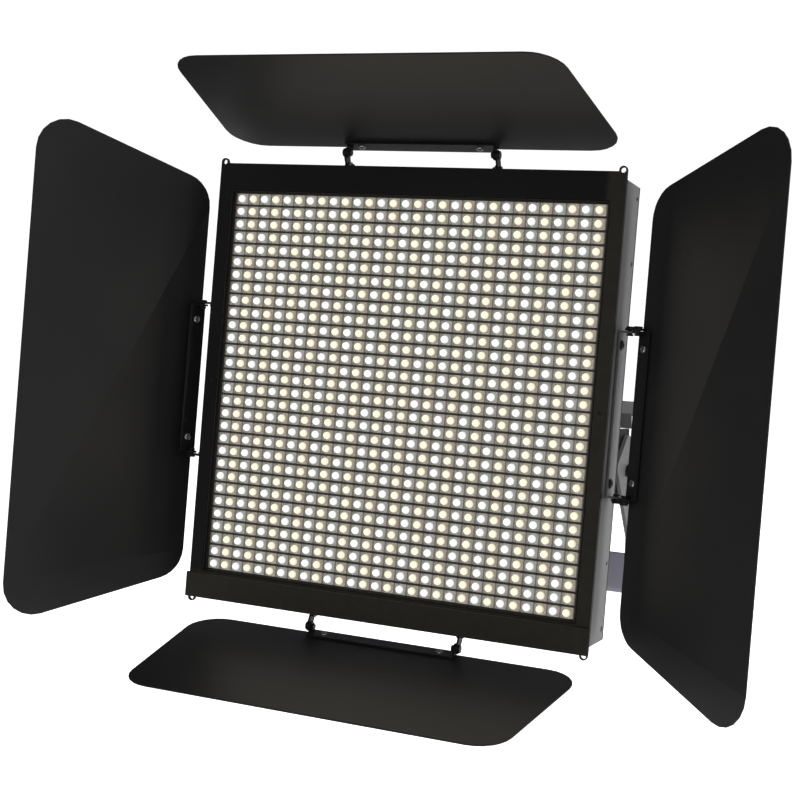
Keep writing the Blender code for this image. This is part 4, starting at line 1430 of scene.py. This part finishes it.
@dataclass
class Yoke:
    """Arms, brace, lower bar, tilt bolt and knob, receiver and clamp screw."""

    arm_outer: float = 0.158
    receiver_top: float = 0.050
    clamp_z: float = 0.016
    flange_thick: float = 0.004
    flange_ring: float = 0.0186
    grip_ribs: int = 20
    brace_screws: Tuple[Point, Point] = ((0.0365, 0.0335), (0.0545, 0.0335))
    bar_screws: Tuple[Point, Point] = ((0.0300, -0.0950), (0.0440, -0.0950))

    def build(self) -> None:
        """Finish the CAD nodes and add the details."""
        dress(["yoke_arm_left", "yoke_arm_right", "bar_cap_left", "bar_cap_right"], GREY_PAINT, 0.0004)
        dress(["yoke_brace"], BRACE_PAINT, 0.0004)
        dress(["yoke_bar"], BAR_PAINT, 0.0004)
        dress(["tilt_bolt"], BLACK_STEEL, 0.0003)
        dress(["tilt_knob", "clamp_screw"], GRIP_PLASTIC, 0.0008)
        dress(["stand_receiver"], ALUMINIUM, 0.0005)
        self.arm_screws()
        self.bolt_recess_shade()
        self.knob_cap()
        self.flange_screws()
        self.clamp_ribs()

    def at(self, y: float, z: float) -> Tuple[float, float]:
        """Turn a place measured from the tilt axis into the row frame.

        Args:
            y: Depth behind the axis.
            z: Height above it.

        Returns:
            The same place in the row frame.
        """
        return TILT_POINT.y + y, TILT_POINT.z + z

    def arm_screws(self) -> None:
        """Build the screws that hold the arms to the brace and to the bar's end plates."""
        heads = Shape()
        for side, turn in ((-1, TO_LEFT), (1, TO_RIGHT)):
            for y, z in self.brace_screws + self.bar_screws:
                screw(heads, facing(side * self.arm_outer, *self.at(y, z), turn), 0.0029, 0.0016, Drive.HEX)
        heads.piece("arm_screws", "yoke", BLACK_STEEL)

    def bolt_recess_shade(self) -> None:
        """Build a thin dark hexagon in the tilt bolt's head, painted shade standing in for its hex recess."""
        place = facing(self.arm_outer + 0.0035, TILT_POINT.y, TILT_POINT.z, TO_RIGHT)
        # Painted shade: a dark sheet where the hex recess would be.
        inset = Shape().prism(circle(0.0024, 6), -0.0001, 0.00004, place)
        inset.piece("bolt_recess_shade", "yoke", GRIP_PLASTIC)

    def knob_cap(self) -> None:
        """Build the cap on the tilt knob's end."""
        place = facing(-self.arm_outer - 0.0163, TILT_POINT.y, TILT_POINT.z, TO_LEFT)
        cap = Shape().turned([(0.0, 0.0004), (0.0072, 0.0004), (0.0078, 0.0010), (0.0090, 0.0010), (0.0096, 0.0004),
                              (0.0096, -0.0004), (0.0, -0.0004)], place, 32)
        cap.piece("knob_cap", "tilt_knob", GREY_PLASTIC)

    def flange_screws(self) -> None:
        """Build the screws that hold the receiver's flange to the bar."""
        heads = Shape()
        level = self.receiver_top - self.flange_thick
        for x, y in circle(self.flange_ring, 4, start=math.radians(45)):
            screw(heads, facing(x, y, level, TO_FLOOR), 0.0020, 0.0016, Drive.HEX)
        heads.piece("flange_screws", "yoke", BLACK_STEEL)

    def clamp_ribs(self) -> None:
        """Build the ribs and the end cap of the clamp screw's grip."""
        ribs = Shape()
        place = facing(0.0, 0.0, self.clamp_z, TO_BACK)
        for i in range(self.grip_ribs):
            turn = place @ Matrix.Rotation(2 * math.pi * i / self.grip_ribs, 4, "Z")
            ribs.bar((0.0124, -0.0009, 0.0282), (0.0137, 0.0009, 0.0436), turn)
        ribs.turned([(0.0, 0.0466), (0.0050, 0.0466), (0.0056, 0.0462), (0.0056, 0.0458), (0.0, 0.0458)], place, 24)
        ribs.piece("clamp_grip_ribs", "clamp_screw", GRIP_PLASTIC, bevel=0.0003)


# ================================================================ studio
@dataclass
class Studio:
    """Pale floor, soft lights and the camera."""

    floor_level: float = -0.42
    eye: Triple = (0.41180, -1.09681, 0.44426)
    azimuth: float = 22.72
    elevation: float = 12.06
    lens: float = 64.543
    dim_wall: float = 0.075
    bright_wall: float = 0.52
    lights: List[Tuple[str, Triple, Triple, float, float]] = field(default_factory=lambda: [
        ("key_panel", (-1.5, -1.6, 1.5), (0.0, 0.0, 0.2), 1.4, 26.0),
        ("fill_panel", (1.9, -0.7, 0.3), (0.0, 0.0, 0.2), 1.3, 16.0),
        ("back_panel", (0.3, 1.7, 1.3), (0.0, 0.0, 0.2), 1.5, 24.0),
    ])

    def build(self) -> None:
        """Build the stage."""
        self.floor()
        self.surroundings()
        for name, place, aim, size, power in self.lights:
            self.light(name, place, aim, size, power)
        self.camera()
        bpy.context.scene.view_settings.view_transform = "Standard"

    def floor(self) -> None:
        """Lay the pale floor."""
        half = 9.0
        mesh = bpy.data.meshes.new("studio_floor")
        level = self.floor_level
        corners = [(-half, -half, level), (half, -half, level), (half, half, level), (-half, half, level)]
        mesh.from_pydata(corners, [], [(0, 1, 2, 3)])
        surface = bpy.data.materials.new("pale_floor")
        surface.use_nodes = True
        graph = Graph(surface.node_tree)
        shader = surface.node_tree.nodes["Principled BSDF"]
        grain = graph.noise(graph.place(), 6.0, 3.0)
        graph.feed(shader.inputs["Base Color"], graph.mix((0.92, 0.92, 0.92), (0.95, 0.95, 0.95), grain))
        graph.feed(shader.inputs["Roughness"], 0.9)
        seen = graph.node("ShaderNodeLightPath", {}, {}, "Is Camera Ray")
        graph.feed(shader.inputs["Emission Color"], graph.mix((0.0, 0.0, 0.0), (1.0, 1.0, 1.0), seen))
        graph.feed(shader.inputs["Emission Strength"], 0.9)
        mesh.materials.append(surface)
        made = bpy.data.objects.new("studio_floor", mesh)
        bpy.context.scene.collection.objects.link(made)

    def surroundings(self) -> None:
        """Light the room softly and keep its walls white."""
        world = bpy.data.worlds.new("white_room")
        bpy.context.scene.world = world
        world.use_nodes = True
        tree = world.node_tree
        dim = tree.nodes["Background"]
        bright = tree.nodes.new("ShaderNodeBackground")
        white = tree.nodes.new("ShaderNodeBackground")
        for wall, strength in ((dim, self.dim_wall), (bright, self.bright_wall), (white, 1.05)):
            wall.inputs["Color"].default_value = (1.0, 1.0, 1.0, 1.0)
            wall.inputs["Strength"].default_value = strength
        place = tree.nodes.new("ShaderNodeTexCoord")
        parts = tree.nodes.new("ShaderNodeSeparateXYZ")
        across = tree.nodes.new("ShaderNodeMapRange")
        across.inputs["From Min"].default_value, across.inputs["From Max"].default_value = -0.7, 0.8
        path = tree.nodes.new("ShaderNodeLightPath")
        room, blend = tree.nodes.new("ShaderNodeMixShader"), tree.nodes.new("ShaderNodeMixShader")
        tree.links.new(place.outputs["Generated"], parts.inputs[0])
        tree.links.new(parts.outputs["X"], across.inputs["Value"])
        tree.links.new(across.outputs[0], room.inputs[0])
        tree.links.new(dim.outputs[0], room.inputs[1])
        tree.links.new(bright.outputs[0], room.inputs[2])
        tree.links.new(path.outputs["Is Camera Ray"], blend.inputs[0])
        tree.links.new(room.outputs[0], blend.inputs[1])
        tree.links.new(white.outputs[0], blend.inputs[2])
        tree.links.new(blend.outputs[0], tree.nodes["World Output"].inputs["Surface"])

    def light(self, name: str, place: Triple, aim: Triple, size: float, power: float) -> None:
        """Add a soft square light.

        Args:
            name: Its name.
            place: Where it stands.
            aim: What it faces.
            size: Side of the square.
            power: Its power in watts.
        """
        lamp = bpy.data.lights.new(name, "AREA")
        lamp.shape = "SQUARE"
        lamp.size = size
        lamp.energy = power
        made = bpy.data.objects.new(name, lamp)
        bpy.context.scene.collection.objects.link(made)
        made.visible_glossy = False
        made.location = place
        made.rotation_mode = "QUATERNION"
        made.rotation_quaternion = (Vector(aim) - Vector(place)).to_track_quat("-Z", "Y")

    def camera(self) -> None:
        """Set up the camera."""
        view = bpy.data.cameras.new("camera")
        view.lens = self.lens
        view.sensor_width = 36.0
        made = bpy.data.objects.new("camera", view)
        bpy.context.scene.collection.objects.link(made)
        turn, rise = math.radians(self.azimuth), math.radians(self.elevation)
        back = Vector((math.sin(turn) * math.cos(rise), -math.cos(turn) * math.cos(rise), math.sin(rise)))
        made.location = self.eye
        made.rotation_mode = "QUATERNION"
        made.rotation_quaternion = (-back).to_track_quat("-Z", "Y")
        bpy.context.scene.camera = made


def main() -> None:
    """Build the light in order."""
    logging.basicConfig(level=logging.INFO, format="%(name)s: %(message)s")
    LampField().build()
    Casing().build()
    for door in (BarnDoor("right", 0.0, 0.164, -49.5, 44.0), BarnDoor("top", -90.0, 0.167, -29.7, 74.9),
                 BarnDoor("left", 180.0, 0.164, 8.8, 55.7), BarnDoor("bottom", 90.0, 0.167, -27.4, 79.3)):
        door.build()
    ControlPanel().build()
    Yoke().build()
    Studio().build()


if __name__ == "__main__":
    main()
